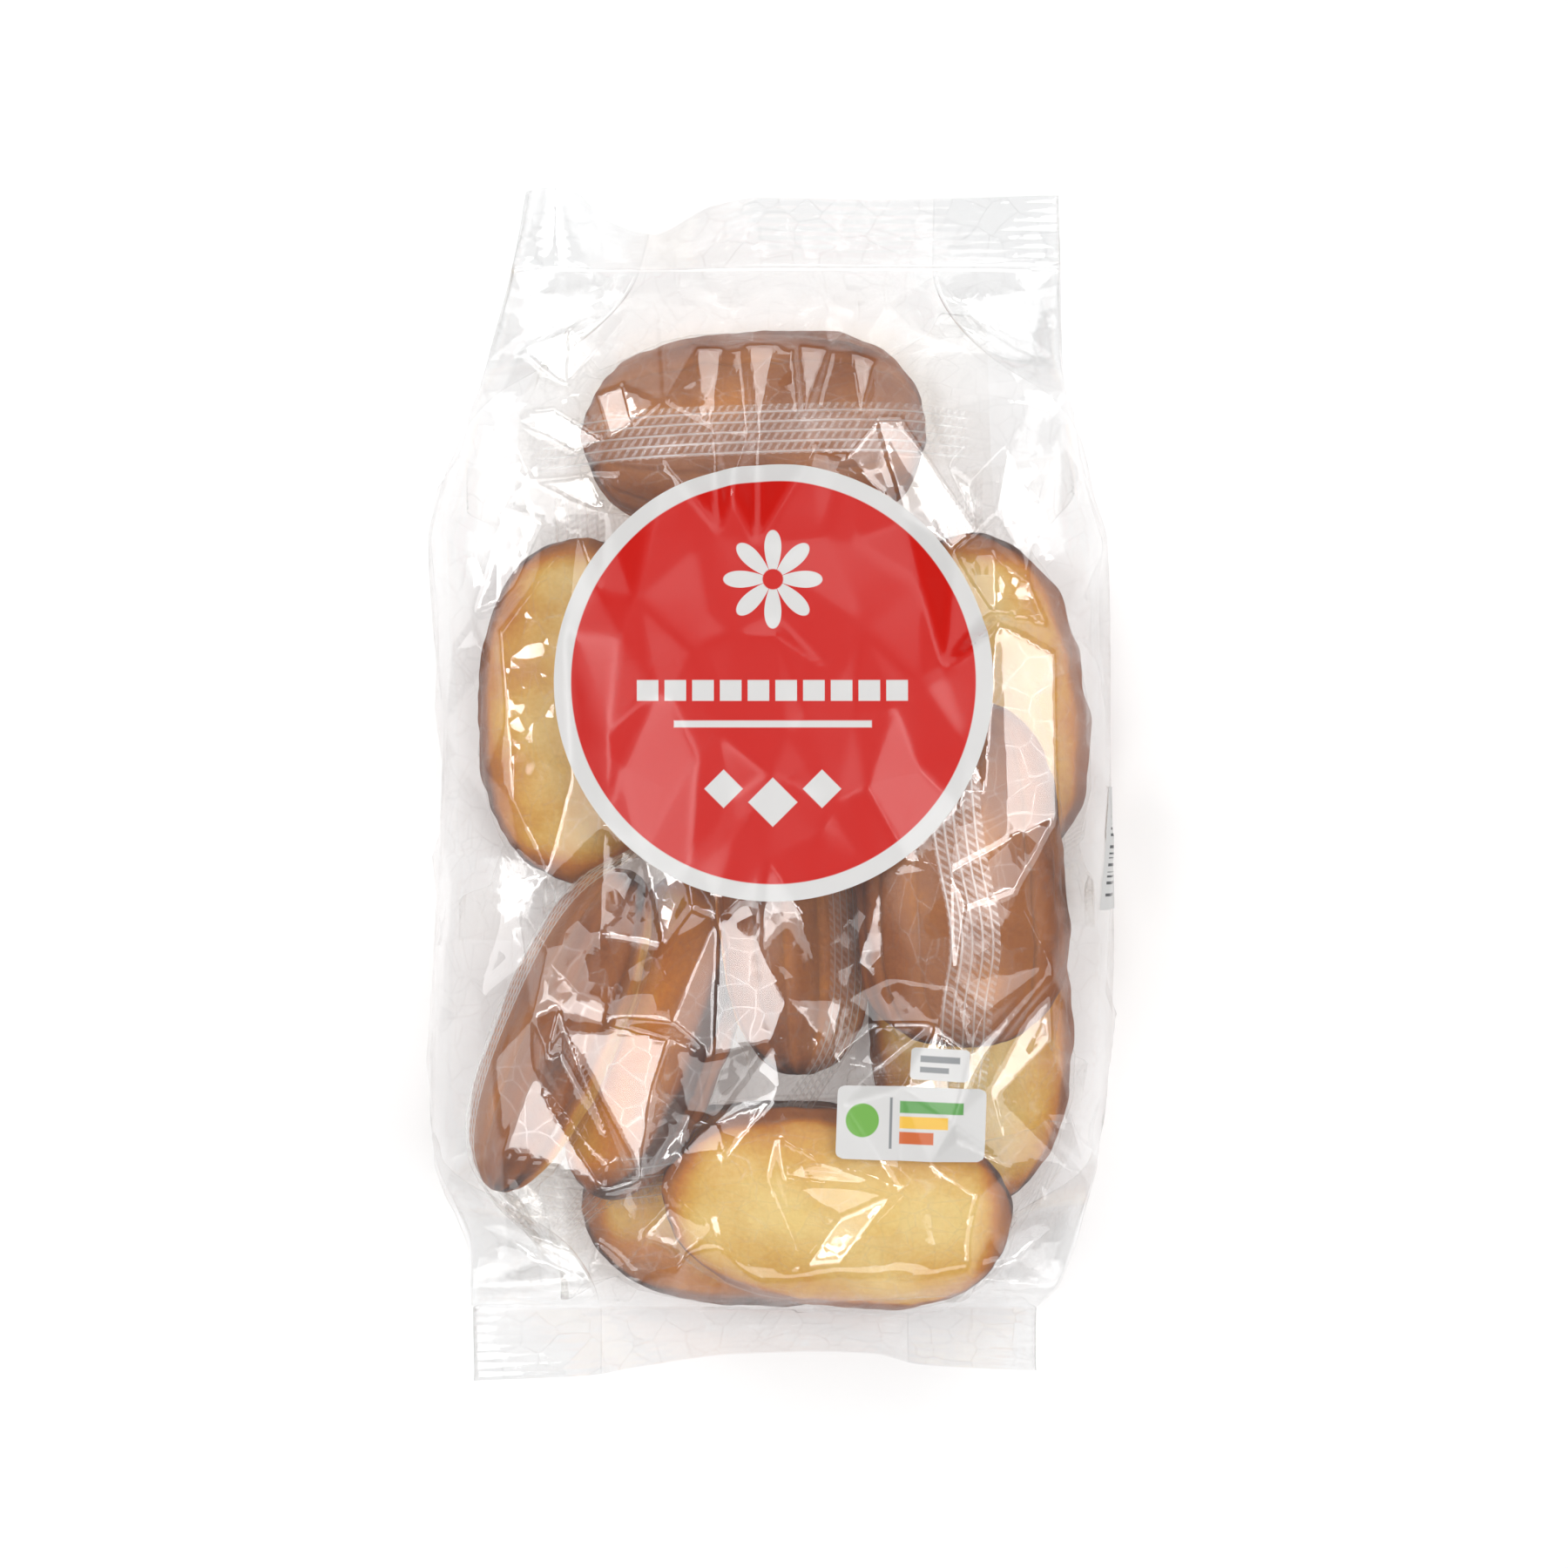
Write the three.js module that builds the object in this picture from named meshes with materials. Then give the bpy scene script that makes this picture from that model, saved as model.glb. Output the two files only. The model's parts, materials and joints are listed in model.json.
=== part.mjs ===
// A sealed clear film bag of wrapped madeleine cakes, lying on its back with the printed front up.
//
// Millimetres. +Z is up, +Y runs along the bag to its top seal, +X is to the right of the front.
// The bag is one closed solid out to its film: a filled body that rests on a flat back, and a
// crimped fin at each end where the film is sealed flat. The printed panels are thin skins that
// follow the film. The origin is under the middle of the bag, at the level it rests on.
import * as THREE from "three";

// ---- Driving dimensions of the bag ----
// The bag is lofted through stations along Y. Each row is [y, left edge, right edge].
const EDGES = [
  [-138, -68.6, 61],
  [-122, -69.4, 61.8],
  [-116, -69.5, 66.4],
  [-108, -69.8, 69.8],
  [-100, -73.2, 72.8],
  [-92, -77.4, 75.6],
  [-84, -78.8, 76.6],
  [-60, -78.6, 78.4],
  [-40, -77.8, 79.2],
  [12, -75.8, 78.4],
  [36, -78, 78.4],
  [56, -79.2, 77.8],
  [66, -77, 75],
  [80, -72.6, 72.4],
  [100, -66.4, 68.4],
  [119.6, -60.4, 67.4],
  [138, -56.6, 66.2],
];

// Height of the front film on the middle line, as [y, z]: a steep cap at the bottom seal and a
// long slope at the top seal.
const CREST = [
  [-122, 14],
  [-121.2, 27],
  [-119, 37],
  [-114, 44.5],
  [-104, 49],
  [-84, 51.5],
  [-20, 52.5],
  [24, 53],
  [48, 50],
  [72, 43],
  [96, 31],
  [112, 19],
  [119.6, 14.5],
];

// Height of the back film, as [y, z]: flat on the table between the rises to the seals.
const BACK = [
  [-122, 13],
  [-118, 8],
  [-110, 2],
  [-102, 0],
  [88, 0],
  [98, 1.2],
  [110, 7],
  [119.6, 13.5],
];

// The seals: where each begins, how wide its band is, and the height it hangs at. The tilt of the
// band along its free edge is given as [x, degrees].
const SEALS = {
  bottom: {
    line: -122,
    band: 18.6,
    z: 13.5,
    outwards: -1,
    tilt: [[-69, 30], [-42, 38], [-31, 48], [-8, 61], [12, 63], [24, 61], [34, 51], [62, 44]],
  },
  top: {
    line: 119.6,
    band: 18.6,
    z: 14,
    outwards: 1,
    tilt: [[-60, 40], [-50, 6], [-38, 60], [-27, 72], [-13, 46], [-2, 36], [24, 39], [67, 32]],
  },
};
const FIN_THICKNESS = 1;
const CRIMP_PITCH = 4.65;
const CRIMP_DEPTH = 0.3;

// How square the cross-section is over the front and under the back.
const FRONT_SQUARENESS = 2.8;
const BACK_SQUARENESS = 4.5;
const BACK_PRESS = 1.05;
const WAIST_HEIGHT = 0.46;

// Cakes that press the film up: where each lies, which way it points and how far it stands proud.
const CAKE_REACH = { along: 43, across: 25 };
const CAKES = [
  { x: -4, y: 82, turn: 2, rise: 4.5 },
  { x: -44, y: 17, turn: 88, rise: 1.5 },
  { x: 52, y: 16, turn: 98, rise: 4 },
  { x: 3, y: -20, turn: 92, rise: 2 },
  { x: 47, y: -32, turn: 92, rise: 2 },
  { x: -38, y: -56, turn: 60, rise: 3.5 },
  { x: 15, y: -98, turn: -7, rise: 4.5 },
];

// ---- Driving dimensions of the printed panels ----
const SKIN_GAP = 0.4;
const SKIN_THICKNESS = 0.5;
const ROUND_PANEL = { x: 0.5, y: 22.5, radius: 48.6 };
const INFO_PANEL = { x: 31.5, y: -76.5, width: 33.5, height: 16.4, turn: -2 };
const COUNT_PANEL = { x: 38, y: -63.4, width: 13.2, height: 7.2, turn: -3 };
const SIDE_PANEL = { y: -15, height: 28, from: 0.5, to: -0.12 };

// ---- Mesh density ----
const AROUND = 60;
const BODY_ROWS = 46;

// ---- Small formulas ----
const clamp01 = (t) => Math.min(1, Math.max(0, t));
const mix = (a, b, t) => a + (b - a) * t;
const bell = (d) => Math.exp(-d * d);

// A power that keeps the sign of its base.
function signedPower(value, exponent) {
  return Math.sign(value) * Math.abs(value) ** exponent;
}

// A smooth curve through a table's rows that never overshoots them: cubic between rows, with the
// slope at each row the harmonic mean of the slopes either side of it.
function through(table, t, column = 1) {
  const last = table.length - 1;
  if (t <= table[0][0]) return table[0][column];
  if (t >= table[last][0]) return table[last][column];
  const k = table.findIndex((row, i) => t < table[i + 1][0]);
  const step = (i) => table[i + 1][0] - table[i][0];
  const rate = (i) => (table[i + 1][column] - table[i][column]) / step(i);
  const slope = (i) => {
    if (i === 0 || i === last) return rate(Math.min(i, last - 1));
    const [before, after] = [rate(i - 1), rate(i)];
    return before * after > 0 ? (2 * before * after) / (before + after) : 0;
  };
  const h = step(k);
  const u = (t - table[k][0]) / h;
  const bend = u * u * (3 - 2 * u);
  return (
    mix(table[k][column], table[k + 1][column], bend) +
    h * u * (1 - u) * ((1 - u) * slope(k) - u * slope(k + 1))
  );
}

// ---- The body's shape along its length ----
const halfWidth = (y) => (through(EDGES, y, 2) - through(EDGES, y, 1)) / 2;
const middleX = (y) => (through(EDGES, y, 2) + through(EDGES, y, 1)) / 2;
const crestHeight = (y) => through(CREST, y);
const backHeight = (y) => through(BACK, y);

// How far the cakes push the front film up at a point.
function cakeRise(x, y) {
  let rise = 0;
  for (const cake of CAKES) {
    const turn = THREE.MathUtils.degToRad(cake.turn);
    const dx = x - cake.x;
    const dy = y - cake.y;
    const along = (dx * Math.cos(turn) + dy * Math.sin(turn)) / CAKE_REACH.along;
    const across = (-dx * Math.sin(turn) + dy * Math.cos(turn)) / CAKE_REACH.across;
    rise += cake.rise * bell((along * along + across * across) ** 0.9);
  }
  return rise;
}

// ---- The cross-section ----
// across runs from -1 at the left edge to 1 at the right edge.
function frontHeight(across, y) {
  const back = backHeight(y);
  const crest = crestHeight(y);
  const waist = mix(back, crest, WAIST_HEIGHT);
  const round = (1 - Math.abs(across) ** FRONT_SQUARENESS) ** (1 / FRONT_SQUARENESS);
  const thick = clamp01((crest - back - FIN_THICKNESS) / 20);
  const rise = cakeRise(middleX(y) + across * halfWidth(y), y);
  return waist + (crest - waist) * round + rise * thick * round;
}

function undersideHeight(across, y) {
  const back = backHeight(y);
  const waist = mix(back, crestHeight(y), WAIST_HEIGHT);
  const round = (1 - Math.abs(across) ** BACK_SQUARENESS) ** (1 / BACK_SQUARENESS);
  return Math.max(back, waist - (waist - back) * BACK_PRESS * round);
}

// A point of the body at an angle round the bag: 0 is the right edge and pi the left edge.
function bodyPoint(angle, y) {
  const across = signedPower(Math.cos(angle), 2 / 3);
  const height = Math.sin(angle) >= 0 ? frontHeight : undersideHeight;
  return new THREE.Vector3(middleX(y) + across * halfWidth(y), y, height(across, y));
}

// ---- The fins ----
// A point of a fin: out is the distance from the seal line, and side is 1 on the front, -1 on the
// back and 0 on the edge.
function finPoint(seal, angle, out) {
  const across = signedPower(Math.cos(angle), 2 / 3);
  const side = Math.abs(Math.sin(angle)) < 1e-9 ? 0 : Math.sign(Math.sin(angle));
  const flatY = seal.line + seal.outwards * out;
  const x = middleX(flatY) + across * halfWidth(flatY);
  const tilt = THREE.MathUtils.degToRad(through(seal.tilt, x));
  const crimp = 0.5 - 0.5 * Math.cos((2 * Math.PI * out) / CRIMP_PITCH);
  const skin = side * (FIN_THICKNESS / 2 + CRIMP_DEPTH * crimp);
  return new THREE.Vector3(
    x,
    seal.line + seal.outwards * (out * Math.cos(tilt) - skin * Math.sin(tilt)),
    seal.z + out * Math.sin(tilt) + skin * Math.cos(tilt),
  );
}

// ---- The bag as one closed mesh ----
function finRows(seal) {
  const steps = Math.round(seal.band / (CRIMP_PITCH / 2));
  const rows = [];
  for (let k = 1; k <= steps; k++) {
    const out = (k * seal.band) / steps;
    rows.push((angle) => finPoint(seal, angle, out));
  }
  return rows;
}

// Rows are closer together near the seals, where the film turns most.
function bodyRows() {
  const rows = [];
  for (let k = 0; k <= BODY_ROWS; k++) {
    const t = k / BODY_ROWS;
    const eased = mix(t, 0.5 - 0.5 * Math.cos(Math.PI * t), 0.6);
    const y = mix(SEALS.bottom.line, SEALS.top.line, eased);
    rows.push((angle) => bodyPoint(angle, y));
  }
  return rows;
}

function closedMesh(points, triangles) {
  const geometry = new THREE.BufferGeometry();
  const numbers = points.flatMap((p) => [p.x, p.y, p.z]);
  geometry.setAttribute("position", new THREE.Float32BufferAttribute(numbers, 3));
  geometry.setIndex(triangles);
  geometry.computeVertexNormals();
  return geometry;
}

function bagGeometry() {
  const rows = [...finRows(SEALS.bottom).reverse(), ...bodyRows(), ...finRows(SEALS.top)];
  const points = [];
  for (const row of rows)
    for (let i = 0; i < AROUND; i++) points.push(row((2 * Math.PI * i) / AROUND));

  const triangles = [];
  const at = (row, i) => row * AROUND + ((i + AROUND) % AROUND);
  for (let row = 0; row + 1 < rows.length; row++)
    for (let i = 0; i < AROUND; i++) {
      triangles.push(at(row, i), at(row + 1, i + 1), at(row, i + 1));
      triangles.push(at(row, i), at(row + 1, i), at(row + 1, i + 1));
    }

  // Each end closes by joining the front of its last row to the back of the same row.
  const half = AROUND / 2;
  for (let i = 0; i < half; i++)
    for (const row of [0, rows.length - 1]) {
      const facets = [];
      if (i > 0) facets.push([at(row, i), at(row, -i), at(row, -i - 1)]);
      if (i + 1 < half) facets.push([at(row, i), at(row, -i - 1), at(row, i + 1)]);
      for (const facet of facets) triangles.push(...(row === 0 ? facet.reverse() : facet));
    }
  return closedMesh(points, triangles);
}

// ---- Thin skins that follow the film ----
// surface(u, v) gives a point of the film, for u and v from 0 to 1, and this is its upward normal.
function skinNormal(surface, u, v) {
  const step = 1e-3;
  const du = surface(u + step, v).sub(surface(u - step, v));
  const dv = surface(u, v + step).sub(surface(u, v - step));
  return du.cross(dv).normalize();
}

// A rectangular skin: its own two faces on a grid, and a wall round its edge.

function sheetGeometry(surface, columns, rows) {
  const points = [];
  for (const lift of [SKIN_GAP, SKIN_GAP + SKIN_THICKNESS])
    for (let j = 0; j <= rows; j++)
      for (let i = 0; i <= columns; i++) {
        const [u, v] = [i / columns, j / rows];
        points.push(surface(u, v).addScaledVector(skinNormal(surface, u, v), lift));
      }
  const layer = (columns + 1) * (rows + 1);
  const at = (side, i, j) => side * layer + j * (columns + 1) + i;
  const triangles = [];
  const quad = (a, b, c, d) => triangles.push(a, b, c, a, c, d);
  for (let j = 0; j < rows; j++)
    for (let i = 0; i < columns; i++) {
      quad(at(1, i, j), at(1, i + 1, j), at(1, i + 1, j + 1), at(1, i, j + 1));
      quad(at(0, i, j), at(0, i, j + 1), at(0, i + 1, j + 1), at(0, i + 1, j));
    }
  for (let i = 0; i < columns; i++) {
    quad(at(0, i, 0), at(0, i + 1, 0), at(1, i + 1, 0), at(1, i, 0));
    quad(at(0, i + 1, rows), at(0, i, rows), at(1, i, rows), at(1, i + 1, rows));
  }
  for (let j = 0; j < rows; j++) {
    quad(at(0, 0, j + 1), at(0, 0, j), at(1, 0, j), at(1, 0, j + 1));
    quad(at(0, columns, j), at(0, columns, j + 1), at(1, columns, j + 1), at(1, columns, j));
  }
  return closedMesh(points, triangles);
}

function filmAt(x, y) {
  return new THREE.Vector3(x, y, frontHeight((x - middleX(y)) / halfWidth(y), y));
}

function filmNormal(x, y) {
  const step = 0.5;
  const dx = filmAt(x + step, y).sub(filmAt(x - step, y));
  const dy = filmAt(x, y + step).sub(filmAt(x, y - step));
  return dx.cross(dy).normalize();
}

// A round skin: rings of facets about its middle, on both faces, and a wall round its edge.
function discGeometry({ x, y, radius }, rings, spokes) {
  const points = [];
  for (const lift of [SKIN_GAP, SKIN_GAP + SKIN_THICKNESS]) {
    points.push(filmAt(x, y).addScaledVector(filmNormal(x, y), lift));
    for (let ring = 1; ring <= rings; ring++)
      for (let k = 0; k < spokes; k++) {
        const r = (radius * ring) / rings;
        const angle = (2 * Math.PI * k) / spokes;
        const px = x + r * Math.cos(angle);
        const py = y + r * Math.sin(angle);
        points.push(filmAt(px, py).addScaledVector(filmNormal(px, py), lift));
      }
  }
  const layer = 1 + rings * spokes;
  const at = (side, ring, k) => side * layer + 1 + (ring - 1) * spokes + (k % spokes);
  const triangles = [];
  const quad = (a, b, c, d) => triangles.push(a, b, c, a, c, d);
  for (let k = 0; k < spokes; k++) {
    triangles.push(layer, at(1, 1, k), at(1, 1, k + 1));
    triangles.push(0, at(0, 1, k + 1), at(0, 1, k));
    for (let ring = 1; ring < rings; ring++) {
      quad(at(1, ring, k), at(1, ring + 1, k), at(1, ring + 1, k + 1), at(1, ring, k + 1));
      quad(at(0, ring, k), at(0, ring, k + 1), at(0, ring + 1, k + 1), at(0, ring + 1, k));
    }
    quad(at(0, rings, k), at(0, rings, k + 1), at(1, rings, k + 1), at(1, rings, k));
  }
  return closedMesh(points, triangles);
}

function flatPanelGeometry({ x, y, width, height, turn }) {
  const angle = THREE.MathUtils.degToRad(turn);
  const surface = (u, v) => {
    const across = (u - 0.5) * width;
    const up = (v - 0.5) * height;
    return filmAt(
      x + across * Math.cos(angle) - up * Math.sin(angle),
      y + across * Math.sin(angle) + up * Math.cos(angle),
    );
  };
  return sheetGeometry(surface, Math.ceil(width / 3), Math.ceil(height / 3));
}

function sidePanelGeometry({ y, height, from, to }) {
  const surface = (u, v) => bodyPoint(mix(from, to, u), y + (v - 0.5) * height);
  return sheetGeometry(surface, 10, 8);
}

// ---- Finishes ----
const FILM = new THREE.MeshStandardMaterial({
  color: 0xe9ecec,
  roughness: 0.12,
  metalness: 0,
  transparent: true,
  opacity: 0.45,
});
const RED_PRINT = new THREE.MeshStandardMaterial({ color: 0xd83a2a, roughness: 0.3, metalness: 0 });
const WHITE_PRINT = new THREE.MeshStandardMaterial({ color: 0xf2f2f0, roughness: 0.35, metalness: 0 });

// ---- The scene graph ----
function named(name, geometry, material) {
  const mesh = new THREE.Mesh(geometry, material);
  mesh.name = name;
  return mesh;
}

const model = new THREE.Group();
const bag = named("bag", bagGeometry(), FILM);
model.add(
  bag,
  named("round_label", discGeometry(ROUND_PANEL, 11, 48), RED_PRINT),
  named("info_label", flatPanelGeometry(INFO_PANEL), WHITE_PRINT),
  named("count_label", flatPanelGeometry(COUNT_PANEL), WHITE_PRINT),
  named("side_label", sidePanelGeometry(SIDE_PANEL), WHITE_PRINT),
);

// The origin goes under the middle of the bag's box.
bag.geometry.computeBoundingBox();
const box = bag.geometry.boundingBox;
model.position.set(-(box.min.x + box.max.x) / 2, -(box.min.y + box.max.y) / 2, -box.min.z);

export default model;
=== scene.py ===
# %% [markdown]
# # A clear bag of wrapped madeleine cakes
#
# Ten small cakes, each sealed in a thin wrapper of its own, lie loose in two layers inside a clear
# bag with a red round label. The bag lies on its back, so the label is on top.
#
# The bag could be one glass-like solid, but what makes a film bag look real is what happens in the
# film: flat facets, sharp ridges, and the haze of several layers. So every film is a thin surface of
# flat facets that clear what lies under them, and a small solver then evens out the ridges. All
# lengths are worked out in millimetres and turned into metres where a mesh is made.

# %% Tools, and the frame the bag has to fit
import json
import math

import bpy
import numpy as np
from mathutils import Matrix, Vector
from mathutils.geometry import delaunay_2d_cdt

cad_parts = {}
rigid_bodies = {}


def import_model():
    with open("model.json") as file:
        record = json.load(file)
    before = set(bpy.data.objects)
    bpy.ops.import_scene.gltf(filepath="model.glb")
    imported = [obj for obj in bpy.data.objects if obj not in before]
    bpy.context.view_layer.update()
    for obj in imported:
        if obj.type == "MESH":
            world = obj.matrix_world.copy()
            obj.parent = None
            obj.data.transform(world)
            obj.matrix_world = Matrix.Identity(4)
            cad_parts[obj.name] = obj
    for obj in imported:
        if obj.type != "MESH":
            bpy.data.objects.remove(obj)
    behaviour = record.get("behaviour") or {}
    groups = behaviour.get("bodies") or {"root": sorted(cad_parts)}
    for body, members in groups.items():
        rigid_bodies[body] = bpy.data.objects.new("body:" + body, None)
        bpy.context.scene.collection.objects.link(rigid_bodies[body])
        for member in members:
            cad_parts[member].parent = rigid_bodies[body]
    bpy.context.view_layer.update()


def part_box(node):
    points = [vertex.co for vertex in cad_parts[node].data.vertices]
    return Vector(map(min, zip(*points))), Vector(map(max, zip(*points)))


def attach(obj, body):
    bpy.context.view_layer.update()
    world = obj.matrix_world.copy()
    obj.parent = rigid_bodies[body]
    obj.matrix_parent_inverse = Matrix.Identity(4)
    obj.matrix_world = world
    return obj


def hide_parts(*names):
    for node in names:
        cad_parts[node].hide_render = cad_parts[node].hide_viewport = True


for starter in list(bpy.data.objects):
    bpy.data.objects.remove(starter)
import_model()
MM = 0.001

# %% [markdown]
# ## Small formulas
#
# Everything below is a function of whole numpy arrays. `through` is the curve that carries the bag's
# shape: it passes through every row of a table and never swings past one, so a table of a few sizes
# is enough for a long smooth form.

# %% Small formulas
def mix(a, b, t):
    """From a to b as t goes from 0 to 1."""
    return a + (b - a) * t


def smooth(a, b, t):
    """0 before a, 1 after b, and an S-curve between: 3k squared minus 2k cubed."""
    k = np.clip((t - a) / (b - a), 0, 1)
    return k * k * (3 - 2 * k)


def signed_power(value, exponent):
    """The size of value raised to a power, with value's sign."""
    return np.sign(value) * np.abs(value) ** exponent


def through(table, t, column=1):
    """Cubic curve through a table's rows, whose slope at a row is the harmonic mean of the slopes
    either side of it, or nought where they turn."""
    rows = np.asarray(table, float)
    at, value = rows[:, 0], rows[:, column]
    step = np.diff(at)
    rate = np.diff(value) / step
    before, after = rate[:-1], rate[1:]
    same_way = before * after > 0
    inner = np.where(same_way, 2 * before * after / np.where(same_way, before + after, 1), 0)
    slope = np.concatenate([rate[:1], inner, rate[-1:]])
    t = np.clip(t, at[0], at[-1])
    k = np.clip(np.searchsorted(at, t, side="right") - 1, 0, len(step) - 1)
    u = (t - at[k]) / step[k]
    bend = u * u * (3 - 2 * u)
    swing = (1 - u) * slope[k] - u * slope[k + 1]
    return mix(value[k], value[k + 1], bend) + step[k] * u * (1 - u) * swing


def ripples(points, size, seed, waves=24):
    """Cheap lumpy noise, about -1 to 1: the mean of many sine waves in random directions whose
    wavelength is near size, scaled up to fill the range."""
    rng = np.random.default_rng(seed)
    way = rng.normal(size=(waves, points.shape[-1]))
    way *= (2 * math.pi / size) * rng.uniform(0.6, 1.5, (waves, 1)) / np.linalg.norm(way, axis=1)[:, None]
    return np.sin(points @ way.T + rng.uniform(0, 2 * math.pi, waves)).sum(-1) / math.sqrt(waves)


def lengths_along(path):
    """How far along a row of points each one is."""
    return np.concatenate([[0], np.cumsum(np.linalg.norm(np.diff(path, axis=0), axis=-1))])


def at_lengths(wanted, length, path):
    """The points of a path at some lengths along it."""
    return np.stack([np.interp(wanted, length, path[:, axis]) for axis in range(3)], -1)


def turn_matrix(heading, pitch, roll):
    """Turns a cake: roll about its length, then pitch its nose up, then head round from +X."""
    h, p, r = np.radians([heading, -pitch, roll])
    about_z = np.array([[math.cos(h), -math.sin(h), 0], [math.sin(h), math.cos(h), 0], [0, 0, 1]])
    about_y = np.array([[math.cos(p), 0, math.sin(p)], [0, 1, 0], [-math.sin(p), 0, math.cos(p)]])
    about_x = np.array([[1, 0, 0], [0, math.cos(r), -math.sin(r)], [0, math.sin(r), math.cos(r)]])
    return about_z @ about_y @ about_x


# %% [markdown]
# ## From arrays to meshes
#
# A grid of points becomes a mesh of quads. `foreach_set` copies a whole array into Blender at once,
# which matters here: the film alone has tens of thousands of points.

# %% Meshes from grids
def grid_quads(rows, columns, wrap):
    """Corners of every quad of a grid, whose last column joins its first if it wraps round."""
    index = np.arange(rows * columns).reshape(rows, columns)
    right = np.roll(index, -1, axis=1)
    if not wrap:
        index, right = index[:, :-1], right[:, :-1]
    return np.stack([index[:-1], right[:-1], right[1:], index[1:]], -1).reshape(-1, 4)


def make_piece(name, points, faces, material, uv=None, masks=None):
    """A piece from points in mm and faces of three or four corners, with smooth shading. uv is one
    pair for each point, and masks are named values for each point that its material reads."""
    mesh = bpy.data.meshes.new(name)
    points = np.asarray(points, np.float32).reshape(-1, 3) * MM
    faces = [np.asarray(f, np.int32) for f in (faces if isinstance(faces, list) else [faces])]
    corners = np.concatenate([f.ravel() for f in faces])
    sizes = np.concatenate([np.full(len(f), f.shape[1], np.int32) for f in faces])
    mesh.vertices.add(len(points))
    mesh.vertices.foreach_set("co", points.ravel())
    mesh.loops.add(len(corners))
    mesh.loops.foreach_set("vertex_index", corners)
    mesh.polygons.add(len(sizes))
    mesh.polygons.foreach_set("loop_start", np.concatenate([[0], np.cumsum(sizes)[:-1]]).astype(np.int32))
    mesh.polygons.foreach_set("use_smooth", np.ones(len(sizes), bool))
    mesh.update(calc_edges=True)
    if uv is not None:
        layer = mesh.uv_layers.new(name="UVMap")
        layer.data.foreach_set("uv", np.asarray(uv, np.float32).reshape(-1, 2)[corners].ravel())
    for mask, values in (masks or {}).items():
        values = np.asarray(values, np.float32)
        kind, key = ("FLOAT_VECTOR", "vector") if values.size == 3 * len(points) else ("FLOAT", "value")
        mesh.attributes.new(mask, kind, "POINT").data.foreach_set(key, values.ravel())
    mesh.validate()
    piece = bpy.data.objects.new(name, mesh)
    bpy.context.scene.collection.objects.link(piece)
    mesh.materials.append(material)
    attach(piece, "root")
    print(f"{name}: {len(points)} points, {int((sizes - 2).sum())} triangles")
    return piece


# %% [markdown]
# ## The bag's form
#
# The bag is a tube of film with a pleat down each side, sealed flat at both ends. In the middle the
# cakes push the pleats open into side walls. The same stations give the solid that the frame holds,
# so the film lies where that solid does.

# %% The bag's stations, as [y, left, right], [y, z] and [x, degrees]
EDGES = [
    [-138, -68.6, 61], [-122, -69.4, 61.8], [-116, -69.5, 66.4], [-108, -69.8, 69.8],
    [-100, -73.2, 72.8], [-92, -77.4, 75.6], [-84, -78.8, 76.6], [-60, -78.6, 78.4],
    [-40, -77.8, 79.2], [12, -75.8, 78.4], [36, -78, 78.4], [56, -79.2, 77.8],
    [66, -77, 75], [80, -72.6, 72.4], [100, -66.4, 68.4], [119.6, -60.4, 67.4], [138, -56.6, 66.2],
]
CREST = [
    [-122, 14], [-121.2, 27], [-119, 37], [-114, 44.5], [-104, 49], [-84, 51.5], [-20, 52.5],
    [24, 53], [48, 50], [72, 43], [96, 31], [112, 19], [119.6, 14.5],
]
BACK = [[-122, 13], [-118, 8], [-110, 2], [-102, 0], [88, 0], [98, 1.2], [110, 7], [119.6, 13.5]]
SEALS = {
    "bottom": {
        "line": -122,
        "band": 18.6,
        "z": 13.5,
        "outwards": -1,
        "tilt": [[-69, 30], [-42, 38], [-31, 48], [-8, 61], [12, 63], [24, 61], [34, 51], [62, 44]],
    },
    "top": {
        "line": 119.6,
        "band": 18.6,
        "z": 14,
        "outwards": 1,
        "tilt": [[-60, 40], [-50, 6], [-38, 60], [-27, 72], [-13, 46], [-2, 36], [24, 39], [67, 32]],
    },
}
FRONT_SQUARENESS = 2.8
BACK_SQUARENESS = 4.5
BACK_PRESS = 1.05
WAIST_HEIGHT = 0.46
FILM_GAP = 0.12
CAKE_REACH = (43, 25)
CAKE_FLATNESS = 1.8
CAKE_RISES = [
    # x, y, turn in degrees, rise
    [-4, 82, 2, 4.5],
    [-44, 17, 88, 1.5],
    [52, 16, 98, 4],
    [3, -20, 92, 2],
    [47, -32, 92, 2],
    [-38, -56, 60, 3.5],
    [15, -98, -7, 4.5],
]


def half_width(y):
    """Half the bag's width at y."""
    return (through(EDGES, y, 2) - through(EDGES, y, 1)) / 2


def middle_x(y):
    """The x half way between the bag's edges at y."""
    return (through(EDGES, y, 2) + through(EDGES, y, 1)) / 2


def from_seals(y):
    """How far y is from the nearer seal line, above 0 between the seals."""
    return np.minimum(y - SEALS["bottom"]["line"], SEALS["top"]["line"] - y)


def cake_rise(x, y):
    """How far the cakes push the front film up: a flat-topped bell over each upper cake."""
    rise = np.zeros_like(x)
    for cx, cy, turn, height in CAKE_RISES:
        c, s = math.cos(math.radians(turn)), math.sin(math.radians(turn))
        along = ((x - cx) * c + (y - cy) * s) / CAKE_REACH[0]
        across = (-(x - cx) * s + (y - cy) * c) / CAKE_REACH[1]
        rise += height * np.exp(-((along**2 + across**2) ** CAKE_FLATNESS))
    return rise


def arch(x, y, squareness):
    """1 in the middle and 0 at both edges: a half ellipse whose corners are squared off."""
    across = np.clip((x - middle_x(y)) / half_width(y), -1, 1)
    return (1 - np.abs(across) ** squareness) ** (1 / squareness)


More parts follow.
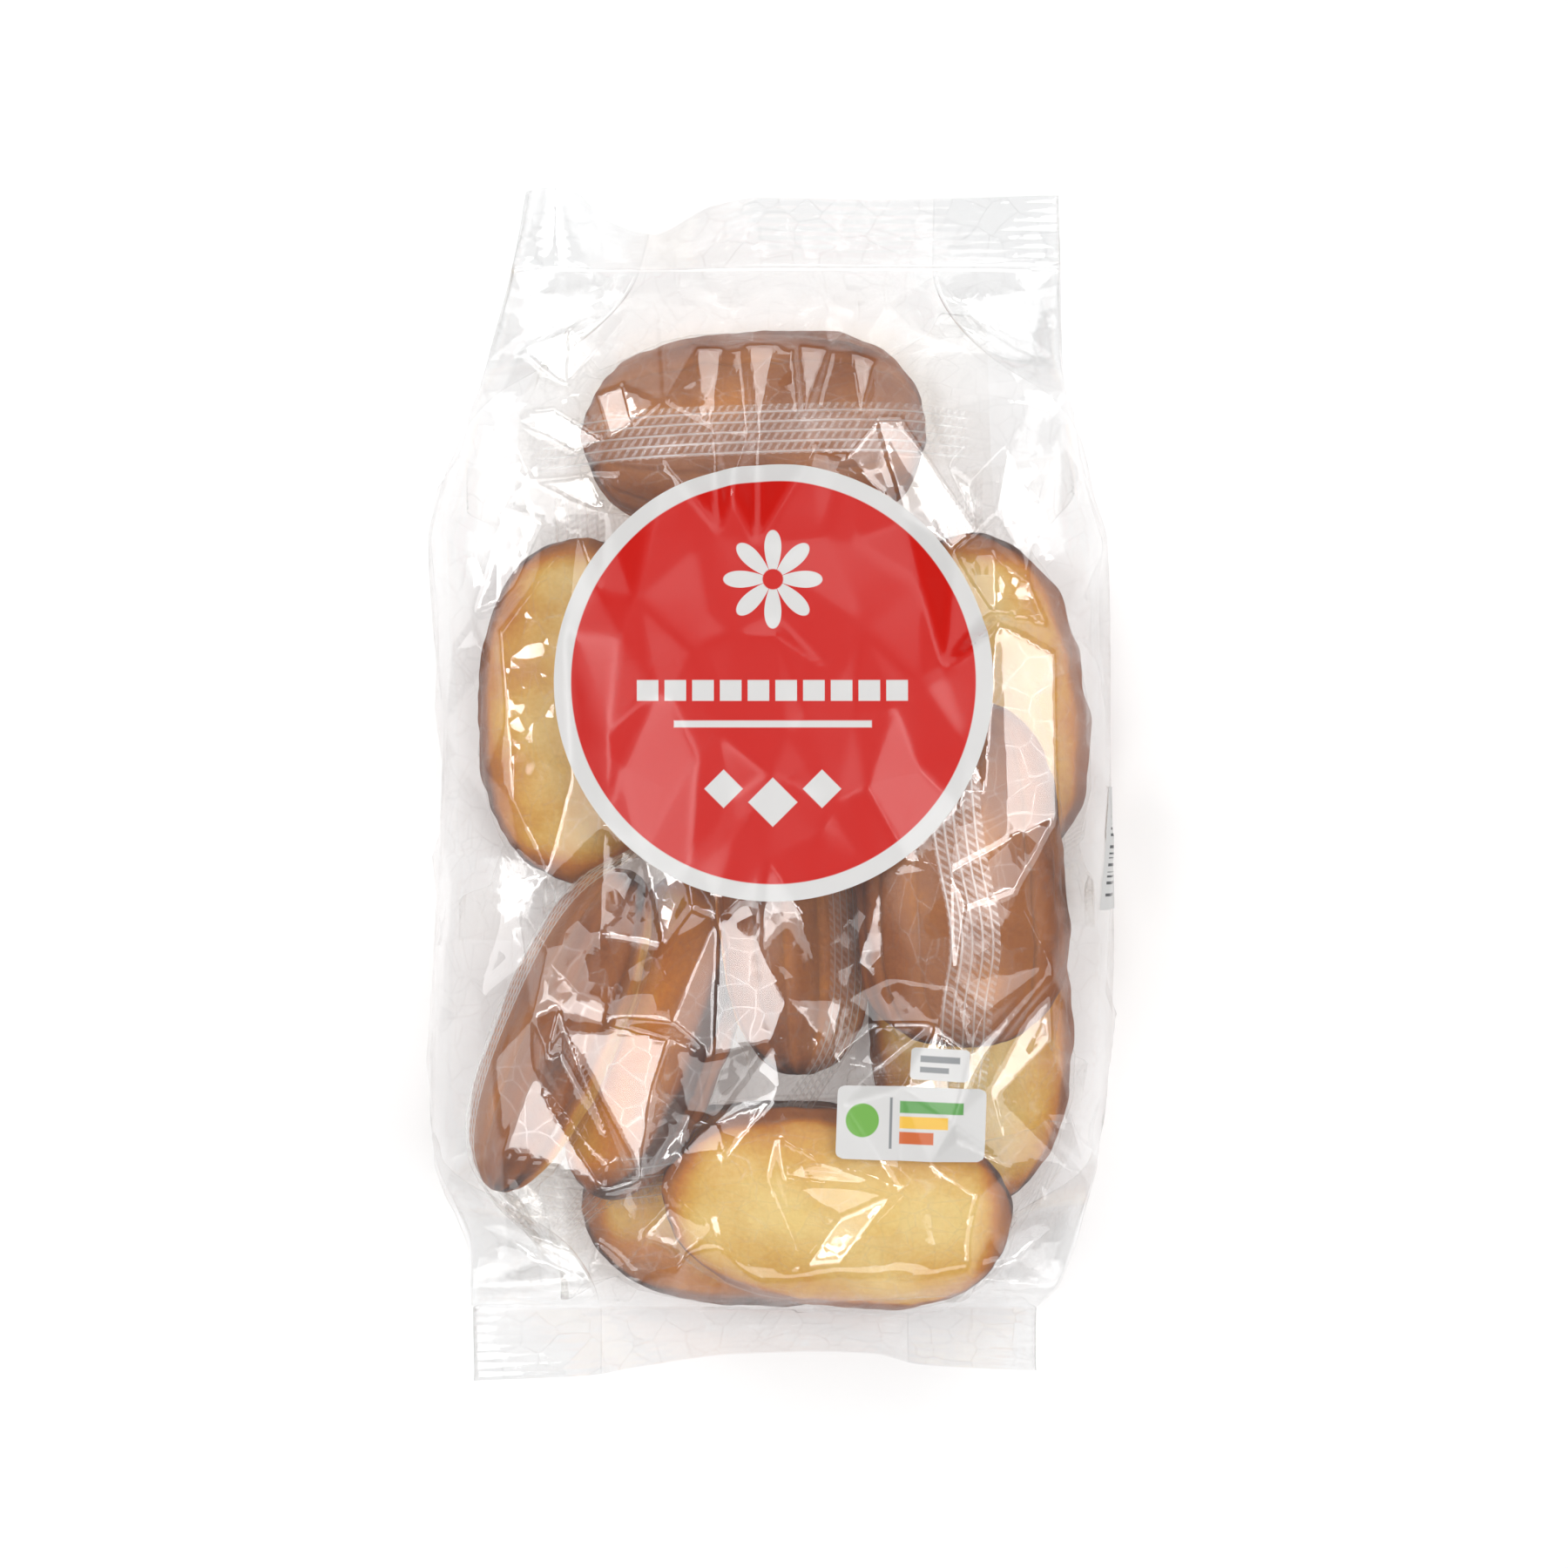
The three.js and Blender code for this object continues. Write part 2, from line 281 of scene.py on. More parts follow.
def front_height(x, y):
    """Height of the front film: an arch from the waist up to the crest, and the rise over the cakes,
    which fades out where the bag gets thinner than a cake."""
    back, crest = through(BACK, y), through(CREST, y)
    waist = mix(back, crest, WAIST_HEIGHT)
    thick = np.clip((crest - back - 1) / 20, 0, 1)
    return waist + (crest - waist + cake_rise(x, y) * thick) * arch(x, y, FRONT_SQUARENESS)


def back_height(x, y):
    """Height of the back film: the table's level, and round at the sides."""
    back = through(BACK, y)
    waist = mix(back, through(CREST, y), WAIST_HEIGHT)
    return np.maximum(back, waist - (waist - back) * BACK_PRESS * arch(x, y, BACK_SQUARENESS))


# %% [markdown]
# ## The film as a grid
#
# Columns run round the bag and rows run along it. At a seal the front takes the whole width and each
# side is folded in between front and back as a pleat. Away from the seal the pleat opens.

# %% The film's grid
FRONT_COLUMNS = 184
PLEAT_COLUMNS = 26
BACK_COLUMNS = 40
BODY_ROWS = 237
FIN_ROWS = 24
PLEAT_DEPTH = 30
PLEAT_LENGTH = 50
PLEAT_SHARE = 0.16
CRIMP_PITCH = 2.3
CRIMP_DEPTH = 0.05


def film_columns():
    """For each column: which panel it is on, and how far along that panel, from 0 to 1. The panels
    go round from the middle of the right pleat over the front to the left pleat and the back."""
    panels = [PLEAT_COLUMNS, FRONT_COLUMNS, PLEAT_COLUMNS, PLEAT_COLUMNS, BACK_COLUMNS, PLEAT_COLUMNS]
    panel = np.repeat(np.arange(6), panels)
    share = np.concatenate([np.arange(n) / n for n in panels])
    return panel, share


def body_rows_y():
    """Rows at equal steps of film along the middle of the front."""
    y = np.linspace(SEALS["bottom"]["line"], SEALS["top"]["line"], 4000)
    length = lengths_along(np.stack([y, front_height(middle_x(y), y)], -1))
    return np.interp(np.linspace(0, length[-1], BODY_ROWS), length, y)


def pleat_opening(y):
    """0 at a seal and 1 where the pleats are fully open."""
    return smooth(0, 1, from_seals(y) / PLEAT_LENGTH)


def body_row(y, panel, share):
    """One row of the body at y. Each half of the cross-section is measured off by its length: the
    front takes all of it at a seal and about two thirds of it where the pleats are open."""
    opening = pleat_opening(y)
    edge_share = PLEAT_SHARE * opening
    x = middle_x(y) + signed_power(np.cos(np.linspace(0, math.pi, 500)), 2 / 3) * half_width(y)
    row = np.zeros((len(panel), 3))
    row[:, 1] = y
    for half, height in ((0, front_height), (1, back_height)):
        z = height(x, np.full_like(x, y))
        length = lengths_along(np.stack([x, z], -1))
        length /= length[-1]
        on_half = panel // 3 == half
        local = panel[on_half] % 3
        start = np.choose(local, [0, edge_share, 1 - edge_share])
        width = np.choose(local, [edge_share, 1 - 2 * edge_share, edge_share])
        at = start + width * share[on_half]
        at = 1 - at if half else at
        row[on_half, 0] = np.interp(at, length, x)
        row[on_half, 2] = np.interp(at, length, z)
    inwards = np.isin(panel, (0, 3))
    fold = np.where(panel % 3 == 1, 0, np.where(inwards, 1 - share, share))
    side = np.where((panel == 0) | (panel == 5), 1, -1)
    row[:, 0] -= side * fold * PLEAT_DEPTH * (1 - opening) * (fold > 0)
    from_middle = row[:, 0] - middle_x(y)
    widest = np.where(from_middle > 0, from_middle.max(), -from_middle.min())
    row[:, 0] = middle_x(y) + from_middle * half_width(y) / widest
    return row


def fin_row(seal, out, panel, share, seal_row):
    """One row of a fin, out mm beyond the seal line: the row at the seal carried on over the tilt,
    with a crimp every few millimetres. The four layers of film lie one gap apart."""
    flat_y = seal["line"] + seal["outwards"] * out
    across = (seal_row[:, 0] - middle_x(seal["line"])) / half_width(seal["line"])
    x = middle_x(flat_y) + across * half_width(flat_y)
    tilt = np.radians(through(seal["tilt"], x))
    crimp = CRIMP_DEPTH * np.sin(2 * math.pi * out / CRIMP_PITCH)
    layer = np.select([panel == 1, panel == 4, panel // 3 == 0], [1.5, -1.5, 0.5], -0.5)
    lift = layer * FILM_GAP + crimp
    y = seal["line"] + seal["outwards"] * (out * np.cos(tilt) - lift * np.sin(tilt))
    return np.stack([x, y, seal["z"] + out * np.sin(tilt) + lift * np.cos(tilt)], -1)


def film_grid():
    """Every row of the film from the bottom fin's edge to the top fin's edge."""
    panel, share = film_columns()
    body = np.stack([body_row(y, panel, share) for y in body_rows_y()])
    fins = {}
    for name, seal_row in (("bottom", body[0]), ("top", body[-1])):
        seal = SEALS[name]
        outs = np.arange(1, FIN_ROWS + 1) * seal["band"] / FIN_ROWS
        fins[name] = np.stack([fin_row(seal, out, panel, share, seal_row) for out in outs])
    return np.concatenate([fins["bottom"][::-1], body, fins["top"]])


film_base = film_grid()
low, high = film_base.min((0, 1)), film_base.max((0, 1))
bag_low, bag_high = (np.array(corner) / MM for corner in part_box("bag"))
SHIFT = ((bag_low + bag_high) / 2 - (low + high) / 2) * (1, 1, 0)
print("film box (mm):", low.round(1), high.round(1), "shift to the frame:", SHIFT.round(2))

# %% [markdown]
# ## The cakes
#
# A madeleine is baked in a ribbed boat-shaped mould. Its underside takes the ribs and browns where
# it touches the metal. Its crown rises free, stays golden and is smooth. A bake value on every point
# says how brown it is, and the finish turns that into colour.

# %% Sizes of a cake, and where each one lies
CAKE_LENGTH = 80
CAKE_WIDTH = 45
CROWN_HEIGHT = 10
MOULD_DEPTH = 13.2
CROWN_POWER = 0.92
MOULD_POWER = 0.74
PLAN_POWER = 0.55
USUAL_END_POWER = 2.7
HUMP = 2
HUMP_REACH = 12
RIBS = 11
GROOVE = 0.085
FLARE = 0.05
CAKE_ROWS = 110
CAKE_COLUMNS = 132
# Centre x, y, z, then heading, pitch and roll. A roll near 0 has the crown up, near 180 the ribs.
CAKES = {
    "top": (-4, 81, 15, 2, 0, 176),
    "left": (-44.5, 17, 16, 88, 0, 0),
    "right": (50, 18, 17, 99, 5, -16),
    "steep": (43, -20.5, 40, 273, 0, 180),
    "centre": (1.5, -27.5, 25, 91, -3, 228),
    "leaning": (-44, -58, 29, 67, 0, 106),
    "beside": (-23, -62, 19, 76, 0, -56),
    "end": (15, -97.5, 40, -7, 0, 12),
    "end_under": (-9, -96, 14.8, -3, 0, 0),
    "right_under": (46, -59, 14.8, 92, 0, 0),
}
END_POWER = {"steep": 4.5, "centre": 4.5, "top": 3.5}
MORE_BAKED = {"beside": 0.26, "left": 0.06, "end_under": 0.2}


def half_plan(t, name):
    """Half a cake's width as a share of the widest: one minus t to the cake's end power, all to the
    plan power. A higher end power has blunter ends."""
    return np.clip(1 - np.abs(t) ** END_POWER.get(name, USUAL_END_POWER), 0, 1) ** PLAN_POWER


def boat_section(angle):
    """Whether an angle round a cake is on its ribbed side, and how far across and up it is: cosine
    and sine raised to a power below 1, which squares the half ellipse off."""
    under = np.sin(angle) < 0
    power = np.where(under, MOULD_POWER, CROWN_POWER)
    return under, signed_power(np.cos(angle), power), signed_power(np.sin(angle), power)


def cake_shape(name, seed):
    """A cake in its own frame, length along X and crown up, and how baked each point is."""
    rows = np.linspace(0, 1, CAKE_ROWS)[:, None]
    angle = np.linspace(0, 2 * math.pi, CAKE_COLUMNS, endpoint=False)[None, :]
    t = -np.cos(math.pi * rows)
    skew = 0.07 * np.random.default_rng(seed).uniform(0.4, 1)
    plan = half_plan(t, name) * (1 + skew * t)
    rise = np.clip(1 - np.abs(t) ** 3, 0, 1) ** PLAN_POWER
    under, across, up = boat_section(angle)
    y = CAKE_WIDTH / 2 * plan * across
    z = np.where(under, MOULD_DEPTH, CROWN_HEIGHT) * rise * up
    rib = np.abs(np.sin(RIBS * angle / 2))
    groove = (1 - rib) ** 2 * smooth(0.0, 0.2, -np.sin(angle)) * smooth(1.0, 0.9, np.abs(t))
    flare = 1 + FLARE * np.exp(-((z / 1.6) ** 2)) * smooth(0, 0.5, plan)
    shrink = 1 - GROOVE * groove
    y, z = y * shrink * flare, z * shrink
    hump = HUMP * np.exp(-((t / 0.5) ** 2) - ((y / HUMP_REACH) ** 2)) * ~under
    x = np.broadcast_to(CAKE_LENGTH / 2 * t, y.shape)
    points = np.stack([x, y, z + hump], -1)
    lumps = ripples(points, 14, seed) * 0.35 + ripples(points, 5, seed + 50) * 0.14
    points += lumps[..., None] * points / (np.linalg.norm(points, axis=-1, keepdims=True) + 1e-6)
    out = np.abs(y) / (CAKE_WIDTH / 2 * np.maximum(plan, 0.05))
    end = np.broadcast_to(np.abs(t), y.shape)
    crown_bake = 0.02 + 0.42 * out**1.9 + 0.34 * smooth(0.9, 1.0, out) + 0.55 * smooth(0.74, 1.0, end) * end
    mould_bake = 0.72 + 0.12 * rib - 0.16 * smooth(0.3, 1, -np.sin(angle)) + 0.2 * smooth(0.85, 1, end)
    bake = np.where(under, mould_bake, crown_bake) + 0.05 * ripples(points, 22, seed + 9)
    return points, np.clip(bake + MORE_BAKED.get(name, 0) * ~under, 0, 1)


def pole_caps(rows, columns):
    """Triangles that close a grid's first and last rows on their own first point."""
    k = np.arange(1, columns - 1)
    first = np.stack([np.zeros_like(k), k + 1, k], -1)
    last = (rows - 1) * columns + np.stack([np.zeros_like(k), k, k + 1], -1)
    return np.concatenate([first, last])


SOLID_POWER = 2.5


def depth_in_cake(points, centre, turn, grow=0.0):
    """How deep points are in a cake that is grown by some mm, in mm, above 0 inside, and the way
    out. The cake is taken as an ellipsoid whose squares are a higher power, so that it is boxier."""
    local = (points - centre) @ turn
    tall = np.where(local[..., 2] > 0, CROWN_HEIGHT + HUMP / 2, MOULD_DEPTH) + grow
    sides = [np.full_like(tall, whole / 2 + grow) for whole in (CAKE_LENGTH, CAKE_WIDTH)]
    size = np.stack([*sides, tall], -1)
    ratio = local / size
    radius = (np.abs(ratio) ** SOLID_POWER).sum(-1) ** (1 / SOLID_POWER)
    slope = np.sign(ratio) * np.abs(ratio) ** (SOLID_POWER - 1) / size
    steepness = np.linalg.norm(slope, axis=-1) + 1e-9
    depth = (1 - radius) / steepness * np.maximum(radius, 0.05) ** (SOLID_POWER - 1)
    return depth, (slope / steepness[..., None]) @ turn.T


# %% [markdown]
# ## Settling the cakes
#
# The table says how each cake lies as seen from above. Heights and small turns are left to a settling
# step, as in a real bag: where two cakes lie too far in each other, both are pushed apart and turned a
# little at that point, and none may go through the table or far past the film. All are drawn back a
# little to where the table has them. Cakes are soft, so where two still press on each other, each
# gives way by half.

# %% Settle the cakes
SETTLE_STEPS = 260
SETTLED = 0.15
CAKE_GIVE = 2.5
CAKE_OVER_TABLE = 1.0
PUSH_INTO_FILM = 0.5
CLEAR_OF_SIDES = 3
CLEAR_OF_SEAL = 2
STAY = 0.06
MOVE_SHARE = 0.7
SPIN_SHARE = 0.5
SPIN_STIFFNESS = 500
DEEPEST_DENT = 8
LOWEST = {"cake": 0.5, "wrapper": 0.3, "strip": 0.2, "film": 0.12}


def straightened(turn):
    """The nearest true turn: its axes made square and one long again."""
    left, _, right = np.linalg.svd(turn)
    return left @ right


def settle(table):
    """Centres and turns of the cakes once they only just touch, in the bag's own frame."""
    rough = cake_shape("", 1)[0][3:-3:8, ::9].reshape(-1, 3)
    names = list(table)
    starts = [np.array(table[n][:3], float) for n in names]
    centres = [start.copy() for start in starts]
    turns = [turn_matrix(*table[n][3:]) for n in names]
    first_turns = [turn.copy() for turn in turns]

    def push(k, at, way, depth):
        """Moves cake k by depth along way, and turns it as a push at that point would."""
        arm = at - centres[k]
        centres[k] = centres[k] + way * depth * MOVE_SHARE
        spin = np.cross(arm, way) * depth / (arm @ arm + SPIN_STIFFNESS) * SPIN_SHARE
        size = np.linalg.norm(spin) + 1e-12
        axis = spin / size
        cross = np.array([[0, -axis[2], axis[1]], [axis[2], 0, -axis[0]], [-axis[1], axis[0], 0]])
        turns[k] = (np.eye(3) + math.sin(size) * cross + (1 - math.cos(size)) * cross @ cross) @ turns[k]

    def push_apart(i, j, points):
        """Pushes cakes i and j apart where i's points are deepest in j, and gives that depth."""
        depth, way = depth_in_cake(points, centres[j], turns[j], -CAKE_GIVE)
        deepest = depth.argmax()
        if depth[deepest] > 0:
            for k, side in ((i, 1), (j, -1)):
                push(k, points[deepest], side * way[deepest], 0.3 * depth[deepest])
        return depth[deepest]

    def push_inside(i, points):
        """Pushes cake i back from the table, the front film, the bag's sides and the bottom seal."""
        x, y, z = points.T
        to_middle = -np.sign(x)[:, None] * (1, 0, 0)
        walls = (
            (CAKE_OVER_TABLE - z, (0, 0, 1), 0.5),
            (z - front_height(x, y) - PUSH_INTO_FILM, (0, 0, -1), 0.25),
            (np.abs(x - middle_x(y)) - half_width(y) + CLEAR_OF_SIDES, to_middle, 0.4),
            (SEALS["bottom"]["line"] + CLEAR_OF_SEAL - y, (0, 1, 0), 0.4),
        )
        for past, way, share in walls:
            worst = past.argmax()
            if past[worst] > 0:
                push(i, points[worst], np.broadcast_to(way, points.shape)[worst], past[worst] * share)

    for step in range(SETTLE_STEPS):
        most = 0.0
        for i in range(len(names)):
            points = rough @ turns[i].T + centres[i]
            for j in range(len(names)):
                if i != j and np.linalg.norm(centres[i] - centres[j]) <= CAKE_LENGTH:
                    most = max(most, push_apart(i, j, points))
            push_inside(i, rough @ turns[i].T + centres[i])
            centres[i] += STAY * (starts[i] - centres[i]) * (1, 1, 0.6)
            turns[i] = straightened(mix(turns[i], first_turns[i], STAY / 2))
        if most < SETTLED:
            break
    print(f"settled after {step + 1} steps, cakes pressed up to {most + CAKE_GIVE:.1f} mm into each other")
    for name, centre, start in zip(names, centres, starts):
        print(f"  {name}: moved {np.round(centre - start, 1)}, at {np.round(centre, 1)}")
    return {n: (c + SHIFT, t) for n, c, t in zip(names, centres, turns)}


def raised(points, layer):
    """Points with nothing below a layer's own lowest height over the table."""
    points[..., 2] = np.maximum(points[..., 2], LOWEST[layer])
    return points


def pressed_cake(name, points):
    """A cake's points with the dents its neighbours leave: a point in another cake moves half way
    out. What would lie below the table's height is made flat."""
    for other, (centre, turn) in cakes.items():
        if other != name:
            depth, way = depth_in_cake(points, centre, turn)
            points = points + np.clip(depth, 0, DEEPEST_DENT)[..., None] * 0.5 * way
    return raised(points, "cake")


cakes = settle(CAKES)

# %% [markdown]
# ## Thin sheets that keep their length
#
# Film hardly stretches, so a sheet with a little more length than its place needs must buckle, and it
# buckles between sharp ridges. The solver here knows only that: each point pulls on its eight
# neighbours until every link has its own length again. It works on whole arrays, first on a coarse
# copy of the wrappers, where a fold travels far in few steps, and then on all their points.

# %% A sheet solver
LINKS = [(0, 1), (1, 0), (1, 1), (1, -1)]
LINK_PULL = 0.14
CONTACT_EVERY = 3


def link_vectors(points, down, along):
    """From each point to its neighbour some rows down and columns along. Columns wrap round."""
    near = points[..., : points.shape[-3] - down, :, :]
    return np.roll(points, -along, axis=-2)[..., down:, :, :] - near


def rest_lengths(points, slack):
    """The length every link wants: its length now, and slack more."""
    rests = []
    for down, along in LINKS:
        length = np.linalg.norm(link_vectors(points, down, along), axis=-1)
        rests.append(length * (1 + slack[..., : points.shape[-3] - down, :]))
    return rests


def relax(points, rests, steps, free, hold, keep, soften, contact):
    """Moves every point by a share of what its links ask, towards the mean of its four neighbours by
    soften, and towards keep by hold. A point moves only where free is 1, and contact then puts it
    outside what it touches."""
    for step in range(steps):
        move = np.zeros_like(points)
        for (down, along), rest in zip(LINKS, rests):
            vector = link_vectors(points, down, along)
            length = np.linalg.norm(vector, axis=-1) + 1e-6
            vector *= ((length - rest) / length * LINK_PULL)[..., None]
            move[..., : points.shape[-3] - down, :, :] += vector
            move[..., down:, :, :] -= np.roll(vector, along, axis=-2)
        near = np.roll(points, 1, -2) + np.roll(points, -1, -2)
        near[..., 1:, :, :] += points[..., :-1, :, :]
        near[..., :-1, :, :] += points[..., 1:, :, :]
        near[..., 0, :, :] += points[..., 0, :, :]
        near[..., -1, :, :] += points[..., -1, :, :]
        move += soften[..., None] * (near / 4 - points) + hold[..., None] * (keep - points)
        points += move * free[..., None]
        if step % CONTACT_EVERY == CONTACT_EVERY - 1:
            contact(points)
    return points


def finer(points, rows, columns):
    """A grid at rows by columns from a coarser one, by straight lines between its points."""
    at = np.linspace(0, points.shape[-3] - 1, rows)
    low = np.minimum(at.astype(int), points.shape[-3] - 2)
    tall = mix(points[..., low, :, :], points[..., low + 1, :, :], (at - low)[:, None, None])
    at = np.arange(columns) * points.shape[-2] / columns
    low = at.astype(int)
    after = (low + 1) % points.shape[-2]
    return mix(tall[..., :, low, :], tall[..., :, after, :], (at - low)[:, None])


# %% Height maps, so that a sheet can rest on what is under it
MAP_STEP = 1.0
MAP_LOW = np.array([-90.0, -150.0])
MAP_SIZE = (300, 180)
MAP_EMPTY = -50.0


def height_map(points):
    """The highest z in each square millimetre, spread one cell each way to close gaps."""
    heights = np.full(MAP_SIZE, MAP_EMPTY)
    cell = ((points[:, :2] - MAP_LOW) / MAP_STEP).astype(int)
    np.maximum.at(heights, (cell[:, 1], cell[:, 0]), points[:, 2])
    for axis in (0, 1):
        heights = np.maximum(heights, np.maximum(np.roll(heights, 1, axis), np.roll(heights, -1, axis)))
    return heights


def read_map(heights, x, y):
    """Bilinear reading of a height map at x, y."""
    at_x = np.clip((x - MAP_LOW[0]) / MAP_STEP - 0.5, 0, MAP_SIZE[1] - 2)
    at_y = np.clip((y - MAP_LOW[1]) / MAP_STEP - 0.5, 0, MAP_SIZE[0] - 2)
    column, row = at_x.astype(int), at_y.astype(int)
    u, v = at_x - column, at_y - row
    low = mix(heights[row, column], heights[row, column + 1], u)
    return mix(low, mix(heights[row + 1, column], heights[row + 1, column + 1], u), v)


# %% [markdown]
# ## The wrappers
#
# Each cake is flow-wrapped: a sheet is folded round it into a tube, welded along a knurled strip on
# the ribbed side of the cake, and crimped flat at both ends. Here all ten tubes are one array, relaxed
# together, so that their flat ends bend away from the cakes beside them.

# %% The wrappers' own shape
WRAPPER_HALF = 56
CRIMP_BAND = 11
FLAT_FROM = 31
END_FROM = 41
END_BEND = 40
END_SWAY = 10
FIN_WIDTH = 57
WRAPPER_ROWS = 121
WRAPPER_COLUMNS = 96
WRAPPER_GAP = 0.9
WRAPPER_SLACK = 0.006
FIRST_WRAPPER_SEED = 70
UNDER_FILM = 1
OVER_TABLE = 0.5
FROM_SEAL = 1.5
OVER_CAKE = 0.6
# The share of the bag's half width that the wrappers have at a seal, and how much more in the middle
ROOM_AT_SEAL, MORE_ROOM = 0.69, 0.25
# How firmly a wrapper is held to its shape: over the cake, which ends at so many mm, and beyond it
HELD_TO, HELD, HARDLY_HELD = 34, 0.02, 0.0004
# Steps and softening on the coarse copy and then on all points
COARSE_STEPS, COARSE_SOFTEN = 150, 0.12
FINE_STEPS, FINE_SOFTEN = 24, 0.06
along_mm = np.linspace(-WRAPPER_HALF, WRAPPER_HALF, WRAPPER_ROWS)[:, None]


def wrapper_shape(name, seed):
    """A tube round a cake: the cake's own blunt boat section, grown a little, which goes flat as a
    smooth step towards each end. The end itself turns up or down by its own angle."""
    rng = np.random.default_rng(seed)
    far = np.abs(along_mm)
    angle = np.linspace(0, 2 * math.pi, WRAPPER_COLUMNS, endpoint=False)[None, :]
    t = np.clip(far / (CAKE_LENGTH / 2), 0, 1)
    under, across, up = boat_section(angle)
    thick = np.where(under, MOULD_DEPTH, CROWN_HEIGHT + HUMP * 0.8) + WRAPPER_GAP
    flat = smooth(FLAT_FROM, WRAPPER_HALF - CRIMP_BAND, far)
    plan = np.maximum(half_plan(t, name), 0.1)
    round_y = (CAKE_WIDTH / 2 * plan * 1.03 + WRAPPER_GAP) * across
    round_z = thick * (1 - t**3 * 0.985) ** PLAN_POWER * up
    share = np.where(angle < math.pi, angle / math.pi, 2 - angle / math.pi)
    y = mix(round_y, FIN_WIDTH * (0.5 - share), flat)
    z = mix(round_z, np.where(under, -FILM_GAP, FILM_GAP), flat)
    x = np.broadcast_to(along_mm, y.shape).copy()
    pull = np.stack([x / 5, y, z], -1)
    wrinkle = 0.34 * ripples(pull, 7, seed) * smooth(8, 36, far) + 0.2 * ripples(pull, 4, seed + 5)
    out = 1 + wrinkle * (1 - smooth(40, 46, far)) / (np.hypot(y, z) + 4)
    y, z = y * out, z * out
    for end in (-1, 1):
        bend, sway = np.radians(rng.uniform([-END_BEND, -END_SWAY], [END_BEND, END_SWAY]))
        past = np.clip(end * x - END_FROM, 0, None)
        x = x - end * past * (1 - math.cos(bend))
        y = y + past * math.sin(sway)
        z = z + past * math.sin(bend)
    return np.stack([x, y, z], -1)


wrap_start = []
for k, (name, (centre, turn)) in enumerate(cakes.items()):
    wrap_start.append(wrapper_shape(name, FIRST_WRAPPER_SEED + k) @ turn.T + centre)
wrap_start = np.stack(wrap_start).astype(np.float32)


def wrapper_contact(points):
    """Keeps every wrapper outside every cake, above the table, in the bag's sides and seal, and under
    the front film's form."""
    x, y = points[..., 0] - SHIFT[0], points[..., 1] - SHIFT[1]
    outside = np.abs(x - middle_x(y)) - half_width(y) * (ROOM_AT_SEAL + MORE_ROOM * pleat_opening(y))
    points[..., 0] -= np.sign(x - middle_x(y)) * np.clip(outside, 0, 2)
    floor = np.maximum(back_height(x, y), 0) + OVER_TABLE
    points[..., 2] = np.maximum(np.minimum(points[..., 2], front_height(x, y) - UNDER_FILM), floor)
    points[..., 1] = np.maximum(points[..., 1], SEALS["bottom"]["line"] + FROM_SEAL)
    for centre, turn in cakes.values():
        near = np.linalg.norm(points - centre, axis=-1) < CAKE_LENGTH / 2 + 3
        some = points[near]
        depth, way = depth_in_cake(some, centre, turn, OVER_CAKE)
        points[near] = some + np.clip(depth, 0, 3)[..., None] * way


def relax_wrappers():
    """Relaxes the wrappers at half their rows and columns, then at all of them. The round middle is
    held near its shape, and the flat ends hardly at all."""
    ones = np.ones(wrap_start.shape[:-1], np.float32)
    hold = np.where(np.abs(along_mm)[None] < HELD_TO, HELD, HARDLY_HELD) * ones
    half, some = wrap_start[:, ::2, ::2].copy(), ones[:, ::2, ::2]
    rests = rest_lengths(half, WRAPPER_SLACK * some)
    soften = COARSE_SOFTEN * some
    relax(half, rests, COARSE_STEPS, some, hold[:, ::2, ::2], half.copy(), soften, wrapper_contact)
    full = wrap_start + finer(half - wrap_start[:, ::2, ::2], WRAPPER_ROWS, WRAPPER_COLUMNS)
    rests = rest_lengths(wrap_start, WRAPPER_SLACK * ones)
    return relax(full, rests, FINE_STEPS, ones, hold, wrap_start, FINE_SOFTEN * ones, wrapper_contact)


smooth_wraps = relax_wrappers()
print(f"wrappers: {len(smooth_wraps)} tubes of {WRAPPER_ROWS} by {WRAPPER_COLUMNS} points relaxed")

# %% [markdown]
# ## Facets
#
# Crumpled film is flat facets that meet in ridges. So every film here gets a net of corner points, and
# between three corners it is one flat triangle. A corner stands a little proud of the smooth form or
# lies a little in it, which tilts the triangles round it and makes each one catch its own light.

# %% Facets on any grid
NET_JITTER = 0.42
NEARLY_NOUGHT = 1e-6


def facet_net(rows, columns, step, seed):
    """Corner points on a grid as row and column pairs: an even net whose points are moved at random
    by up to a share of a step, with the first and last rows kept as edges."""
    rng = np.random.default_rng(seed)
    down = np.arange(step[0] / 2, rows, step[0])
    along = np.arange(0, columns, columns / round(columns / step[1]))
    net = np.stack(np.meshgrid(down, along, indexing="ij"), -1).reshape(-1, 2)
    net += rng.uniform(-NET_JITTER, NET_JITTER, net.shape) * step
    edges = [[row, column] for row in (0, rows - 1) for column in along]
    net = np.concatenate([net[(net[:, 0] > 2) & (net[:, 0] < rows - 3)], edges]).round().astype(int)
    net[:, 1] %= columns
    return np.unique(net, axis=0)


def facet_triangles(spread, edges):
    """Triangles between points, which cross no edge, as the numbers of their three corners."""
    found, _, triangles, source = delaunay_2d_cdt([Vector(c) for c in spread], edges, [], 0, 0.0001)[:4]
    changed = sum(len(s) != 1 for s in source)
    if changed:
        print(f"outlines that cross or touch: {changed} corners not as given")
    nearest = [s[0] if s else int(np.abs(spread - found[k]).sum(1).argmin()) for k, s in enumerate(source)]
    return [[nearest[k] for k in triangle] for triangle in triangles]


